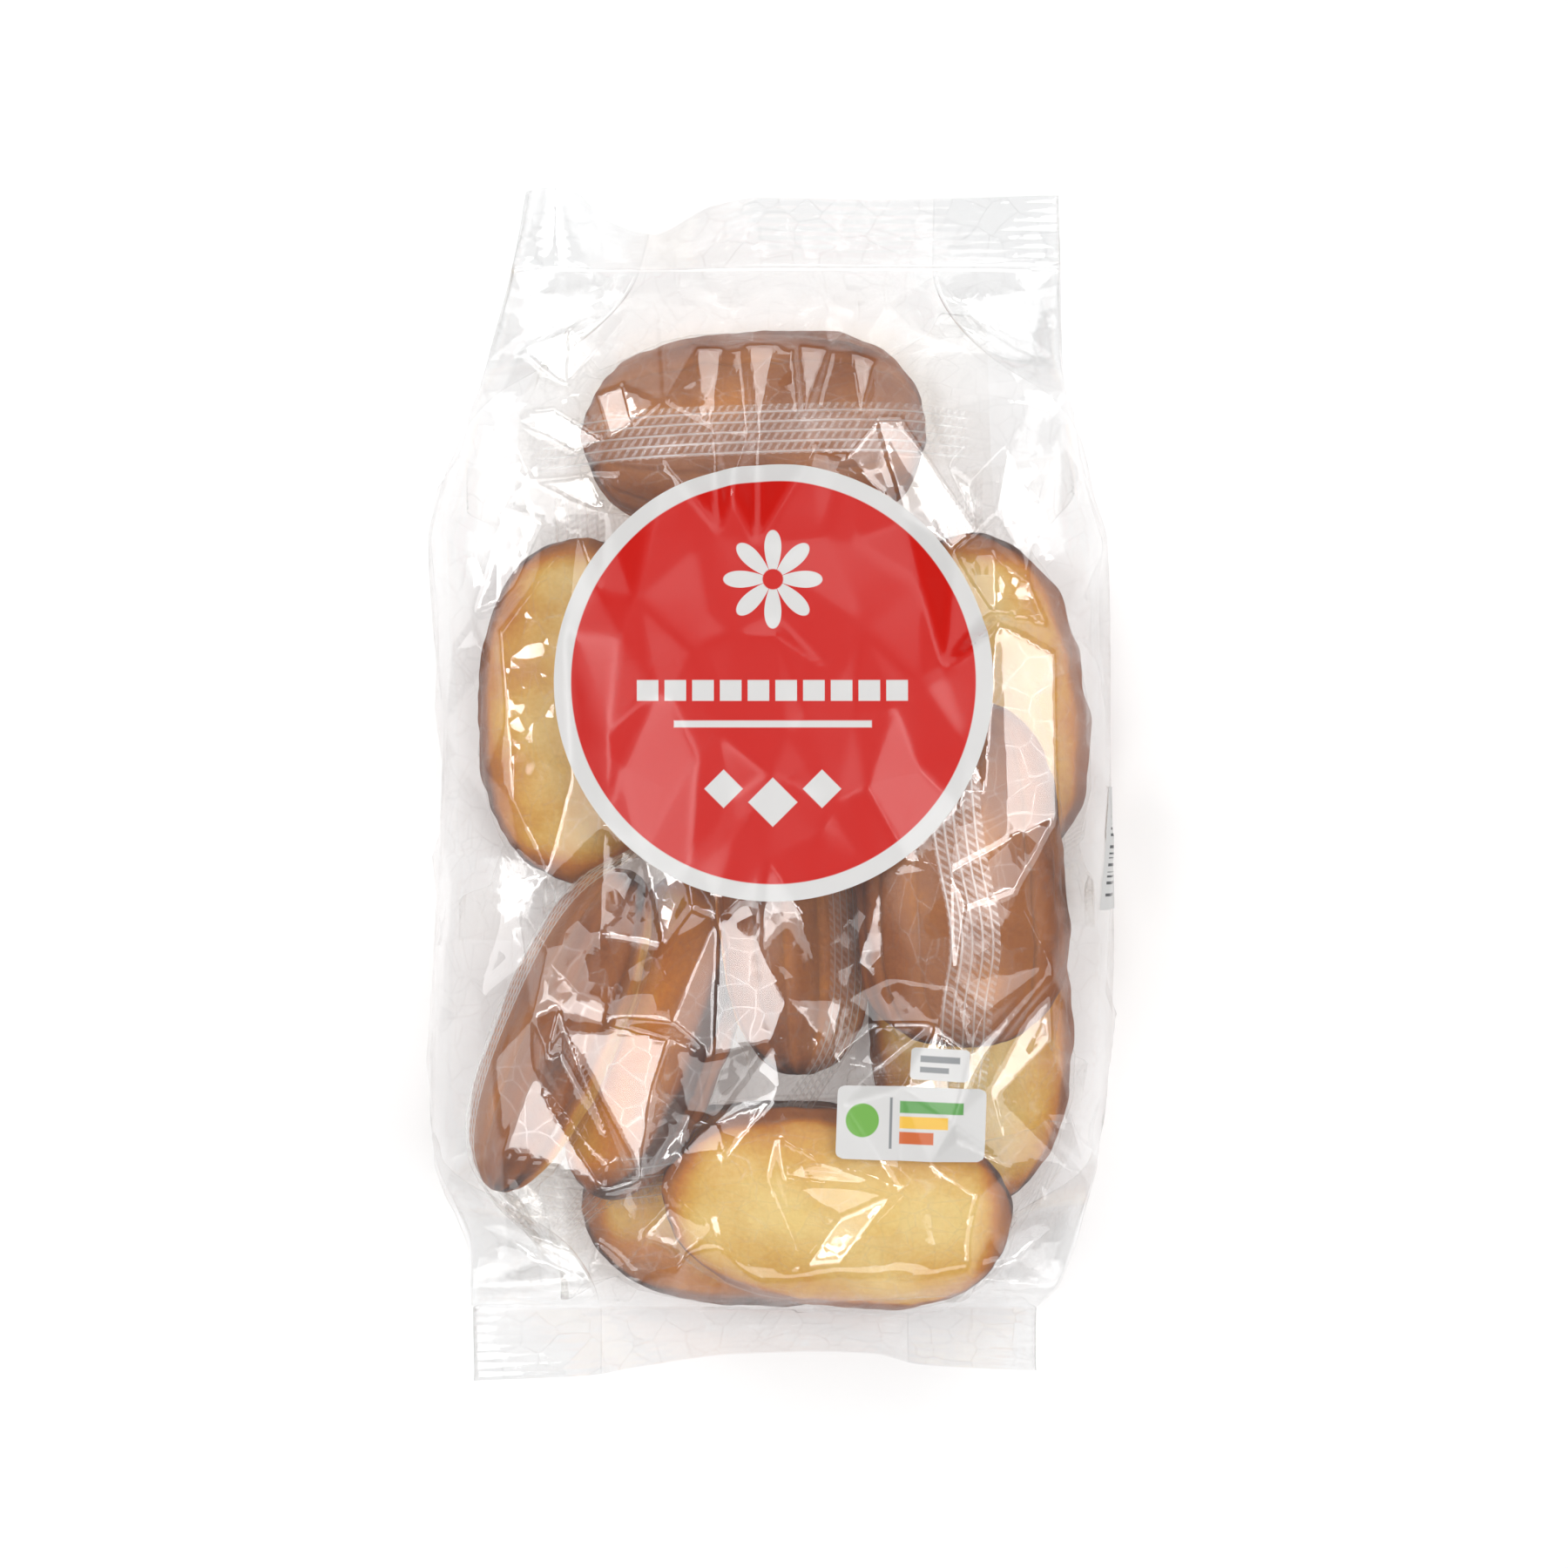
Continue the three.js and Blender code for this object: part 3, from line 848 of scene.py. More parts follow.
def facet_shares(rows, columns, corners, outlines=()):
    """For each point of a grid, the three corners of its triangle and its share of each. Columns wrap
    round, so the corners are repeated a turn to either side. No triangle crosses an outline, which is
    a ring of corners."""
    spread = np.concatenate([corners + [0, turn * columns] for turn in (-1, 0, 1)]).astype(float)
    edges = [(int(a), int(b)) for ring in outlines for a, b in zip(ring, np.roll(ring, -1))]
    edges = [(a + turn * len(corners), b + turn * len(corners)) for turn in range(3) for a, b in edges]
    which = np.zeros((rows, columns, 3), int)
    share = np.zeros((rows, columns, 3))
    share[..., 0] = 1
    for triangle in facet_triangles(spread, edges):
        a, b, c = spread[list(triangle)]
        low = np.maximum(np.floor(np.minimum(np.minimum(a, b), c)), 0).astype(int)
        high = np.minimum(np.ceil(np.maximum(np.maximum(a, b), c)) + 1, [rows, columns]).astype(int)
        area = (b[0] - a[0]) * (c[1] - a[1]) - (c[0] - a[0]) * (b[1] - a[1])
        if (high <= low).any() or abs(area) < NEARLY_NOUGHT:
            continue
        row, column = np.mgrid[low[0] : high[0], low[1] : high[1]]
        v = ((row - a[0]) * (c[1] - a[1]) - (c[0] - a[0]) * (column - a[1])) / area
        w = ((b[0] - a[0]) * (column - a[1]) - (row - a[0]) * (b[1] - a[1])) / area
        inside = (v >= -NEARLY_NOUGHT) & (w >= -NEARLY_NOUGHT) & (v + w <= 1 + NEARLY_NOUGHT)
        place = (row[inside], column[inside])
        share[place] = np.stack([1 - v - w, v, w], -1)[inside]
        which[place] = np.array(triangle) % len(corners)
    return which, share


def flat_between(tips, which, share):
    """The grid with every triangle between corner tips made flat."""
    return (tips[which] * share[..., None]).sum(-2)


def sheet_normals(points, wrap):
    """Unit normals of a grid: the cross product of its steps across and along."""
    if wrap:
        across = np.roll(points, -1, -2) - np.roll(points, 1, -2)
    else:
        across = np.gradient(points, axis=-2)
    normal = np.cross(across, np.gradient(points, axis=-3))
    return normal / (np.linalg.norm(normal, axis=-1, keepdims=True) + 1e-9)


# %% Facets on the wrappers
WRAPPER_FACET_STEP = (17, 7)
FIRST_FACET_SEED = 90
USUAL_FOLD = 0.5
FOLDS = {"left": 0.1}
DEEPEST_FOLD = 0.1
FACETS_OVER_CAKE = 0.35


def faceted_wrapper(name, points, seed):
    """A wrapper with long flat facets over its cake, none of which cuts into the cake. Its corners
    stand up to the cake's fold height proud of the smooth tube."""
    rng = np.random.default_rng(seed)
    corners = facet_net(WRAPPER_ROWS, WRAPPER_COLUMNS, WRAPPER_FACET_STEP, seed)
    which, share = facet_shares(WRAPPER_ROWS, WRAPPER_COLUMNS, corners)
    at = (corners[:, 0], corners[:, 1])
    height = rng.uniform(-DEEPEST_FOLD, FOLDS.get(name, USUAL_FOLD), (len(corners), 1))
    tips = points[at] + sheet_normals(points, True)[at] * height
    over_cake = smooth(45, 40, np.abs(along_mm))[..., None]
    flat = mix(points, flat_between(tips, which, share), over_cake)
    depth, way = depth_in_cake(flat, *cakes[name], FACETS_OVER_CAKE)
    return flat + np.clip(depth, 0, 3)[..., None] * way


wrap_points = smooth_wraps.copy()
for k, name in enumerate(cakes):
    wrap_points[k] = faceted_wrapper(name, smooth_wraps[k], FIRST_FACET_SEED + k)
raised(wrap_points, "wrapper")

# %% The welded strip on each wrapper
STRIP_COLUMNS = 25
STRIP_WIDTH = 11.5
STRIP_ASIDE = 1.2
STRIP_REACH = 18
STRIP_EVENING = 40
STRIP_LIFT, STRIP_EDGE_LIFT = 0.9, 0.5


def evened_rows(path):
    """Each row but the first and last becomes a quarter of each neighbour and half of itself, over
    and over, so that the strip bridges the facets."""
    for step in range(STRIP_EVENING):
        path = np.concatenate([path[:1], (path[:-2] + 2 * path[1:-1] + path[2:]) / 4, path[-1:]])
    return path


def welded_strip(tube):
    """A strip down the ribbed side of a wrapper: points at equal steps across, just off the tube, with
    one edge standing a little prouder than the other."""
    middle = WRAPPER_COLUMNS * 3 // 4
    ring = np.arange(middle - STRIP_REACH, middle + STRIP_REACH + 1)
    paths, aways = evened_rows(tube[:, ring]), evened_rows(sheet_normals(tube, True)[:, ring])
    across = np.linspace(-0.5, 0.5, STRIP_COLUMNS) * STRIP_WIDTH + STRIP_ASIDE
    lift = STRIP_LIFT + STRIP_EDGE_LIFT * np.linspace(0, 1, STRIP_COLUMNS)[:, None] ** 2
    rows = []
    for path, away in zip(paths, aways):
        length = lengths_along(path)
        length -= length[STRIP_REACH]
        rows.append(at_lengths(across, length, path) + at_lengths(across, length, away) * lift)
    return np.stack(rows)


strips = raised(np.stack([welded_strip(tube) for tube in smooth_wraps]), "strip")

# %% [markdown]
# ## The bag's film
#
# The film starts on the bag's form as flat facets. Where the wrapped cakes reach higher than a facet,
# its corners are lifted until it clears them. Most facets lie as chance has it, but those that give
# the pack its clearest highlights are planned: each has an outline and leans so that it mirrors one
# lamp to the camera. The corners are then held while the sheet solver softens the ridges a little.

# %% The camera, and the lamps that the film mirrors
CAMERA = np.array([3, -0.4, 1028])
LAMPS = {
    # azimuth and angle from straight up in degrees, distance and size in metres, watts
    "wide_left": (180, 32, 1.6, (0.9, 1.3), 6.8),
    "wide_right": (0, 32, 1.6, (0.9, 1.3), 6.8),
    "wide_far": (90, 42, 1.7, (1.3, 0.6), 5.5),
    "wide_near": (270, 44, 1.7, (1.3, 0.6), 5.5),
    "bright_left": (190, 17, 1.6, (0.3, 0.4), 1.9),
    "bright_right": (-10, 17, 1.6, (0.3, 0.4), 1.9),
    "bright_far": (88, 26, 1.6, (0.5, 0.34), 2.0),
    "thin_left": (160, 20, 1.3, (0.04, 0.7), 1.2),
    "thin_right": (20, 22, 1.3, (0.04, 0.7), 1.2),
}


def lamp_way(name):
    """Unit vector from the bag to a lamp."""
    azimuth, lean = np.radians(LAMPS[name][:2])
    return np.array([math.sin(lean) * math.cos(azimuth), math.sin(lean) * math.sin(azimuth), math.cos(lean)])


def facet_slope(place, aim):
    """Rise per mm along x and y of a flat facet. An aim that is a pair of numbers is the slope itself.
    An aim that is a lamp gives a facet at place that mirrors the lamp to the camera: its normal lies
    half way between the way to the lamp and the way to the camera."""
    if isinstance(aim, tuple):
        return np.array(aim)
    to_camera = (CAMERA - place) / np.linalg.norm(CAMERA - place)
    to_lamp = lamp_way(aim) * LAMPS[aim][2] / MM - place
    normal = to_camera + to_lamp / np.linalg.norm(to_lamp)
    return -normal[:2] / normal[2]


# %% Corner points of the film's facets
FILM_FACET_STEP = (12, 15)
FACET_HEIGHT = 2.0
LEVEL = (0.0, 0.0)
PLANNED_FACETS = [
    # the lamp it mirrors, or its slope, then its corners as x, y
    ((-0.03, 0.0), [(-62, 34), (-52, 46), (-46, 34), (-44, 2), (-58, -4), (-66, 12)]),
    (LEVEL, [(-10, -84), (2, -79), (0, -88), (8, -108), (-4, -112), (-11, -104)]),
    (LEVEL, [(-24, -90), (-20, -84), (-12, -83), (-12.5, -97), (-21, -93)]),
    (LEVEL, [(36, -85), (46, -92), (44, -104), (26, -112), (16, -106)]),
    (LEVEL, [(50, 52), (58, 46), (64, 34), (50, 38)]),
    (LEVEL, [(24, -22), (40, -20), (41, -46), (26, -44)]),
    ("bright_left", [(-70, -30.8), (-63, -23.4), (-50.4, -21), (-57, -28.4)]),
    ("bright_left", [(-47.5, -50.2), (-41.4, -48), (-36.4, -51), (-38, -54)]),
    ("bright_left", [(-46.4, -56), (-22.2, -57.2), (-26, -68.6), (-29, -88.4)]),
    ((-0.1, 0.1), [(-50, -62), (-46.2, -60.5), (-33.4, -84), (-37, -86)]),
    ((-0.12, 0.1), [(-38, -34), (-24, -36), (-22, -54), (-36, -53)]),
    ("bright_left", [(-53, -65), (-36.5, -91), (-60, -83)]),
    ("bright_right", [(-12, -30), (-2, -38), (4, -48.6), (-13, -62)]),
    ("bright_left", [(-58, 100), (-46, 104), (-47, 90)]),
    ("bright_left", [(-40, 88), (-34, 90), (-31, 81), (-37, 77)]),
    ("bright_left", [(-61, 84), (-49, 85), (-44, 74)]),
    ("bright_left", [(-55, 68), (-41, 70), (-37, 60)]),
    ("wide_left", [(-70, 60), (-60, 62), (-58, 44), (-68, 40)]),
    ("bright_right", [(51, 36), (66, 30), (67, -8), (53, -12)]),
    ("bright_right", [(44.8, -60.8), (72, -41.2), (73.4, -43.6), (46.6, -63.4)]),
    ("bright_right", [(49.2, -68.6), (75, -48), (76, -50.6), (50.8, -71.4)]),
    ("wide_near", [(3, -89), (29, -91), (16, -97)]),
    ("wide_left", [(-22.6, -95), (-13, -100), (-18.8, -105)]),
    ("bright_far", [(-17, 99), (-11, 99), (-13, 80)]),
    ((0.22, -0.2), [(-9.8, 98), (-7.2, 98), (-5.2, 79), (-11.5, 80)]),
    ("bright_far", [(-6, 100), (1, 100), (-3, 76)]),
    ((0.22, -0.2), [(2.2, 98), (4.8, 98), (6.4, 84), (-0.4, 80)]),
    ("bright_far", [(6, 100), (13, 99), (8, 84)]),
    ((-0.22, -0.2), [(14.2, 98), (16.8, 97), (18.2, 84), (10.4, 85)]),
    ("bright_far", [(18, 98), (24, 96), (21, 84)]),
    ("bright_right", [(24, 82), (30, 82), (47, 57), (41, 52)]),
]
FACET_POINTS = [
    # x, y, height over the bag's form
    [-64, -62, 0.5], [-76, -87.4, 2.5], [-66, -100, -2.0], [-48, -98, 0.5],
    [-33, -29.6, 1.5], [-56, -40, -1.5], [-12, -76, -2.0], [14, -62, 1.6],
    [58, -52, -1.2], [67.8, -58.2, 2.0], [64, -74, -1.4],
]
# Folds that fan out below the top seal, turn about up and down
FAN_Y = 110
FAN_HEIGHT = 1.3
FACET_POINTS += [[6.6 * k - 26.4, FAN_Y, FAN_HEIGHT * (-1) ** k] for k in range(11)]

# %% What the film rests on
ROUND_LABEL = (0.5, 22.5)
# How far from the round label's middle the film is free, and how far it is stiff
LABEL_EDGE = (52.6, 45.6)


def label_stiffness(x, y):
    """1 under the round label and 0 outside it."""
    return smooth(*LABEL_EDGE, np.hypot(x - ROUND_LABEL[0], y - ROUND_LABEL[1]))


cake_points, cake_bakes = {}, {}
for k, (name, (centre, turn)) in enumerate(cakes.items()):
    points, cake_bakes[name] = cake_shape(name, k + 1)
    cake_points[name] = pressed_cake(name, points @ turn.T + centre)
contents = [*cake_points.values(), wrap_points, strips]
contents_top = height_map(np.concatenate([points.reshape(-1, 3) for points in contents]))
for blur in range(2):
    around = sum(np.roll(contents_top, by, axis) for by in (-1, 1) for axis in (0, 1)) / 4
    contents_top = np.maximum(contents_top, around)

# %% Solve the film
FILM_OVER_CONTENTS = 0.7
FILM_TOP = 57.3
LIFT_ROUNDS = 24
SOFTEN_STEPS = 9
FILM_SLACK = 0.003
NET_SEED, HEIGHT_SEED = 12, 13
LEVEL_TOWARDS_TOP = 0.3
LABEL_STEADIES = 0.8
# How firmly the film is held to its facets, and how much more at their corners
FILM_HOLD, CORNER_HOLD = 0.08, 0.6
# How soft the ridges get, and how much softer under the label
RIDGE_SOFTEN, LABEL_SOFTEN = 0.05, 0.25


def inside_outline(x, y, corners):
    """Whether points are inside a polygon: a line from each crosses its edges an odd number of times."""
    inside = np.zeros(x.shape, bool)
    for (ax, ay), (bx, by) in zip(corners, corners[1:] + corners[:1]):
        crosses = (ay > y) != (by > y)
        inside ^= crosses & (x < ax + (bx - ax) * (y - ay) / ((by - ay) or 1e-9))
    return inside


def film_corners(x, y, front):
    """Grid places of all corner points, how far each stands off the bag's form, and the corners of
    each planned facet. An even net fills in wherever no named point is near."""

    def nearest(px, py):
        """The place on the grid's front that is nearest to a point."""
        far = np.where(front, np.hypot(x - px, y - py), 1e9)
        return np.unravel_index(far.argmin(), far.shape)

    groups, named = [], []
    for aim, outline in PLANNED_FACETS:
        groups.append(np.arange(len(named), len(named) + len(outline)))
        named += [nearest(*corner) for corner in outline]
    heights = [0.0] * len(named) + [point[2] for point in FACET_POINTS]
    named = np.array(named + [nearest(*point[:2]) for point in FACET_POINTS])
    net = facet_net(*x.shape, FILM_FACET_STEP, NET_SEED)
    rng = np.random.default_rng(HEIGHT_SEED)
    height = rng.uniform(0.3, 1, len(net)) * np.where(rng.random(len(net)) < 0.5, -1, 1) * FACET_HEIGHT
    clear = (np.abs(net[:, None] - named[None]) / FILM_FACET_STEP > 0.5).any(-1).all(1)
    at = (net[:, 0], net[:, 1])
    for aim, outline in PLANNED_FACETS:
        clear &= ~inside_outline(x[at], y[at], outline)
    clear |= ~front[at]
    return np.concatenate([named, net[clear]]), np.concatenate([heights, height[clear]]), groups


def lifted_tips(tips, groups, lacking):
    """Corner tips after rounds of lifting: each planned facet is laid flat at its slope, then every
    corner rises by what its triangles lack over the contents."""
    slopes = [facet_slope(tips[group].mean(0), aim) for group, (aim, outline) in zip(groups, PLANNED_FACETS)]
    for step in range(LIFT_ROUNDS):
        for slope, group in zip(slopes, groups):
            tilt = (tips[group, :2] - tips[group, :2].mean(0)) @ slope
            level = tips[group, 2] - tilt
            tips[group, 2] = tilt + mix(level.mean(), level.max(), LEVEL_TOWARDS_TOP)
        rise = lacking(tips)
        tips[:, 2] = np.minimum(tips[:, 2] + rise, FILM_TOP)
    print(f"film: {len(tips)} corner points, most still lifted {rise.max():.2f} mm")
    return tips


def solve_film():
    """The film's body rows: flat facets lifted clear of what is under them, with slightly soft ridges.
    weight is 1 where the film is free to leave the bag's form and 0 along the seals and pleats."""
    panel, share = film_columns()
    base = film_base[FIN_ROWS:-FIN_ROWS] + SHIFT
    x, y = base[..., 0] - SHIFT[0], base[..., 1] - SHIFT[1]
    front = (panel == 1)[None, :] & np.ones(x.shape, bool)
    upper = ((panel == 0) | (panel == 2))[None, :]
    inner = (np.minimum(share, 1 - share)[None, :] * 14).clip(0, 1)
    side = smooth(0.75, 1, pleat_opening(y))
    weight = smooth(2, 16, from_seals(y)) * np.where(front, np.maximum(inner, side), upper * side)
    stiff = label_stiffness(x, y) * front
    corners, heights, groups = film_corners(x, y, front)
    at = (corners[:, 0], corners[:, 1])
    which, shares = facet_shares(*x.shape, corners, groups)
    outwards = -sheet_normals(base, True)
    outwards *= np.sign(outwards[len(base) // 2, panel == 1, 2].mean())

    def over(points):
        """How high the contents stand at points, and the film's gap over them."""
        return read_map(contents_top, points[..., 0], points[..., 1]) + FILM_OVER_CONTENTS

    def faceted(tips):
        """The film with flat facets between corner tips."""
        return mix(base, flat_between(tips, which, shares), weight[..., None])

    def lacking(tips):
        """How far each corner has to rise for the facets round it to clear the contents."""
        points = faceted(tips)
        under = np.where(front, over(points) - points[..., 2], 0).clip(0)
        lift = under[..., None] * shares / (shares**2).sum(-1, keepdims=True)
        rise = np.zeros(len(tips))
        np.maximum.at(rise, which.ravel(), lift.ravel())
        return rise

    def contact(points):
        """Keeps the front film over the contents and all of it over the table."""
        top = points[:, panel == 1]
        top[..., 2] = np.clip(np.maximum(top[..., 2], over(top)), None, FILM_TOP)
        points[:, panel == 1] = top
        raised(points, "film")

    tips = base[at] + outwards[at] * (heights * weight[at] * (1 - LABEL_STEADIES * stiff[at]))[:, None]
    keep = faceted(lifted_tips(tips, groups, lacking))
    pinned = np.zeros(x.shape)
    pinned[at] = 1
    free = np.ones(x.shape)
    free[0] = free[-1] = 0
    hold, soften = FILM_HOLD + CORNER_HOLD * pinned, RIDGE_SOFTEN + LABEL_SOFTEN * stiff
    rests = rest_lengths(keep, FILM_SLACK * weight)
    return relax(keep.copy(), rests, SOFTEN_STEPS, free, hold, keep, soften, contact)


film_points = film_base + SHIFT
film_points[FIN_ROWS:-FIN_ROWS] = solve_film()
print("film box (mm):", film_points.min((0, 1)).round(1), film_points.max((0, 1)).round(1))

# %% [markdown]
# ## Finishes
#
# Film is drawn as a surface that lets most light straight through and mirrors the rest. How much it
# mirrors grows from a small share straight on to a large one at grazing, slowly at first and then
# steeply. Some of what it doesn't let through is milky instead of a mirror, as film has a haze.

# %% Helpers for materials
class Output:
    """An output of a shader node. Arithmetic on it adds a Math node and gives that node's output, so
    that a formula in a material reads as it would on plain numbers."""

    def __init__(self, socket):
        self.socket = socket

    def beside(self, key):
        """Another output of the same node."""
        return Output(self.socket.node.outputs[key])

    def __add__(self, other):
        return calc("ADD", self, other)

    def __sub__(self, other):
        return calc("SUBTRACT", self, other)

    def __rsub__(self, other):
        return calc("SUBTRACT", other, self)

    def __mul__(self, other):
        return calc("MULTIPLY", self, other)

    def __truediv__(self, other):
        return calc("DIVIDE", self, other)

    def __rtruediv__(self, other):
        return calc("DIVIDE", other, self)

    def __pow__(self, other):
        return calc("POWER", self, other)

    def __abs__(self):
        return calc("ABSOLUTE", self)


def add_node(tree, kind, inputs=None, output=0, **settings):
    """Adds a node with its settings, and its inputs set to a constant or joined to another node's
    output. Gives one of its outputs."""
    node = tree.nodes.new(kind)
    for key, setting in settings.items():
        setattr(node, key, setting)
    for key, value in (inputs or {}).items():
        if isinstance(value, Output):
            tree.links.new(value.socket, node.inputs[key])
        else:
            node.inputs[key].default_value = value
    return Output(node.outputs[output])


def calc(operation, *values):
    """The output of a Math node on outputs and plain numbers."""
    tree = next(v for v in values if isinstance(v, Output)).socket.id_data
    return add_node(tree, "ShaderNodeMath", dict(enumerate(values)), operation=operation)


def vector(operation, *values, scale=None):
    """The output of a Vector Math node whose first value is an output."""
    inputs = dict(enumerate(values)) | ({} if scale is None else {"Scale": scale})
    return add_node(values[0].socket.id_data, "ShaderNodeVectorMath", inputs, operation=operation)


def map_range(value, low, high, at_low, at_high, **settings):
    """From at_low to at_high as value goes from low to high, and held beyond them."""
    inputs = {"Value": value, 1: low, 2: high, 3: at_low, 4: at_high}
    return add_node(value.socket.id_data, "ShaderNodeMapRange", inputs, **settings)


def noise(place, scale, detail, **more):
    """Soft noise, about 0 to 1, at a number of waves for each metre."""
    inputs = {"Vector": place, "Scale": scale, "Detail": detail} | more
    return add_node(place.socket.id_data, "ShaderNodeTexNoise", inputs, "Fac")


def attribute(tree, name, output):
    """A mask that a piece carries on its points."""
    return add_node(tree, "ShaderNodeAttribute", None, output, attribute_name=name)


def new_material(name):
    """An empty material and its node tree."""
    material = bpy.data.materials.new(name)
    material.use_nodes = True
    material.node_tree.nodes.clear()
    return material, material.node_tree


def show(tree, surface):
    """Makes a shader the surface of its material."""
    end = tree.nodes.new("ShaderNodeOutputMaterial")
    tree.links.new(surface.socket, end.inputs["Surface"])


def bumped(height, strength, distance, **more):
    """The normal that a height gives."""
    inputs = {"Height": height, "Strength": strength, "Distance": distance} | more
    return add_node(height.socket.id_data, "ShaderNodeBump", inputs, "Normal")


# %% Crumple, for every film
HALF = (0.5, 0.5, 0.5)
CREASE_WIDTH = 0.03


def crumple_group():
    """Flat facets with thin creases between them. Space is cut into uneven cells, each with a tilt of
    its own that is added to the surface's normal, and smaller cells add half as much. Crease is 1
    on a thin line where two cells meet."""
    group = bpy.data.node_groups.new("crumple", "ShaderNodeTree")
    for name, way, kind in (
        ("Place", "INPUT", "Vector"),
        ("Facet Size", "INPUT", "Float"),
        ("Tilt", "INPUT", "Float"),
        ("Normal", "OUTPUT", "Vector"),
        ("Crease", "OUTPUT", "Float"),
    ):
        group.interface.new_socket(name, in_out=way, socket_type=f"NodeSocket{kind}")
    given = group.nodes.new("NodeGroupInput").outputs
    result = group.nodes.new("NodeGroupOutput").inputs
    scaled = vector("SCALE", Output(given["Place"]), scale=1.0 / Output(given["Facet Size"]))
    bend = add_node(group, "ShaderNodeTexNoise", {"Vector": scaled, "Scale": 0.5, "Detail": 1.0}, "Color")
    bent = vector("ADD", scaled, vector("SCALE", vector("SUBTRACT", bend, HALF), scale=0.6))

    def cells(scale, output, **settings):
        """Uneven cells, scale of them to a facet's size."""
        return add_node(group, "ShaderNodeTexVoronoi", {"Vector": bent, "Scale": scale}, output, **settings)

    large = vector("SUBTRACT", cells(1.0, "Color"), HALF)
    small = vector("SUBTRACT", cells(2.7, "Color"), HALF)
    edge = cells(1.0, "Distance", feature="DISTANCE_TO_EDGE")
    tilt = vector("ADD", large, vector("SCALE", small, scale=0.5))
    straight = add_node(group, "ShaderNodeNewGeometry", None, "Normal")
    leaning = vector("ADD", straight, vector("SCALE", tilt, scale=Output(given["Tilt"])))
    group.links.new(vector("NORMALIZE", leaning).socket, result["Normal"])
    group.links.new(map_range(edge, 0.0, CREASE_WIDTH, 1.0, 0.0).socket, result["Crease"])
    return group


crumple = crumple_group()


def crumpled(place, size, tilt):
    """The normal and the crease lines of a crumple group in a material, with facets of size in mm."""
    node = place.socket.id_data.nodes.new("ShaderNodeGroup")
    node.node_tree = crumple
    place.socket.id_data.links.new(place.socket, node.inputs["Place"])
    node.inputs["Facet Size"].default_value = size * MM
    node.inputs["Tilt"].default_value = tilt
    return Output(node.outputs["Normal"]), Output(node.outputs["Crease"])


# %% Film
FACING_POWER = 4.5


def film_material(name, shine, grazing, roughness, haze, tint, size, tilt, crease, pressed=None):
    """Clear film: transparent, mixed with a surface that mirrors. The mix is shine straight on, more
    on a crease, and grazing where the film turns edge on, all times the layer mask. haze is how much
    of the surface is milky instead of a mirror. pressed gives the height of a pressed pattern in mm
    and what it adds to the shine."""
    material, tree = new_material(name)
    if pressed:
        place = attribute(tree, "own", "Vector")
        normal, line = crumpled(vector("MULTIPLY", place, (0.4, 1.0, 1.0)), size, tilt)
        along = add_node(tree, "ShaderNodeSeparateXYZ", {"Vector": place})
        height, streak = pressed(along / MM, along.beside(1) / MM)
        normal = bumped(height, 1.0, MM, Normal=normal)
    else:
        normal, line = crumpled(add_node(tree, "ShaderNodeTexCoord", None, "Object"), size, tilt)
    facing = add_node(tree, "ShaderNodeLayerWeight", {"Blend": 0.5, "Normal": normal}, "Facing")
    low = calc("MULTIPLY_ADD", line, crease, shine)
    if pressed:
        low = low + streak
    share = calc("MULTIPLY_ADD", facing**FACING_POWER, grazing - shine, low) * attribute(tree, "layer", "Fac")
    clear = add_node(tree, "ShaderNodeBsdfTransparent", {"Color": (*tint, 1)})
    look = {"Base Color": (1, 1, 1, 1), "Metallic": 1 - haze, "Roughness": roughness, "Normal": normal}
    surface = add_node(tree, "ShaderNodeBsdfPrincipled", look)
    blend = {0: calc("MINIMUM", share, 1.0), 1: clear, 2: surface}
    show(tree, add_node(tree, "ShaderNodeMixShader", blend))
    return material


RIB_PITCH, RIB_HEIGHT = 1.7, 0.22
LINE_PITCH, LINE_HEIGHT, LINE_SHINE = 2.3, 0.06, 0.3
DASH_PITCH, DASH_SLANT, DASH_HEIGHT, DASH_SHINE = 1.9, 2.2, 0.04, 0.16


def waves(along, pitch):
    """A sine that repeats every pitch mm."""
    return calc("SINE", along * (2 * math.pi / pitch))


def wrapper_ribs(along, across):
    """Ribs across both crimped ends: a sine of the length along. They add no shine."""
    ends = map_range(abs(along), 44.5, 46.0, 0.0, 1.0)
    return waves(along, RIB_PITCH) * ends * RIB_HEIGHT, 0.0


def strip_knurl(along, across):
    """Long lines, the positive half of a sine across, and rows of slanted dashes between them."""
    line = calc("MAXIMUM", waves(across, LINE_PITCH), 0.0)
    slant = calc("MULTIPLY_ADD", along, 2 * math.pi / DASH_PITCH, across * DASH_SLANT)
    dash = calc("GREATER_THAN", calc("SINE", slant), 0.2) * (1.0 - line)
    height = calc("MULTIPLY_ADD", line, LINE_HEIGHT, dash * DASH_HEIGHT)
    return height, calc("MULTIPLY_ADD", line**3.0, LINE_SHINE, dash * DASH_SHINE)


bag_film_material = film_material(
    "bag_film", shine=0.115, grazing=0.85, roughness=0.06, haze=0.32, tint=(0.99, 0.992, 0.993),
    size=7, tilt=0.06, crease=0.06,
)
wrapper_material = film_material(
    "wrapper_film", shine=0.028, grazing=0.24, roughness=0.36, haze=0.3, tint=(0.99, 0.988, 0.985),
    size=4, tilt=0.08, crease=0.07, pressed=wrapper_ribs,
)
strip_material = film_material(
    "strip_film", shine=0.05, grazing=0.5, roughness=0.32, haze=0.45, tint=(0.97, 0.965, 0.96),
    size=6, tilt=0.1, crease=0.0, pressed=strip_knurl,
)

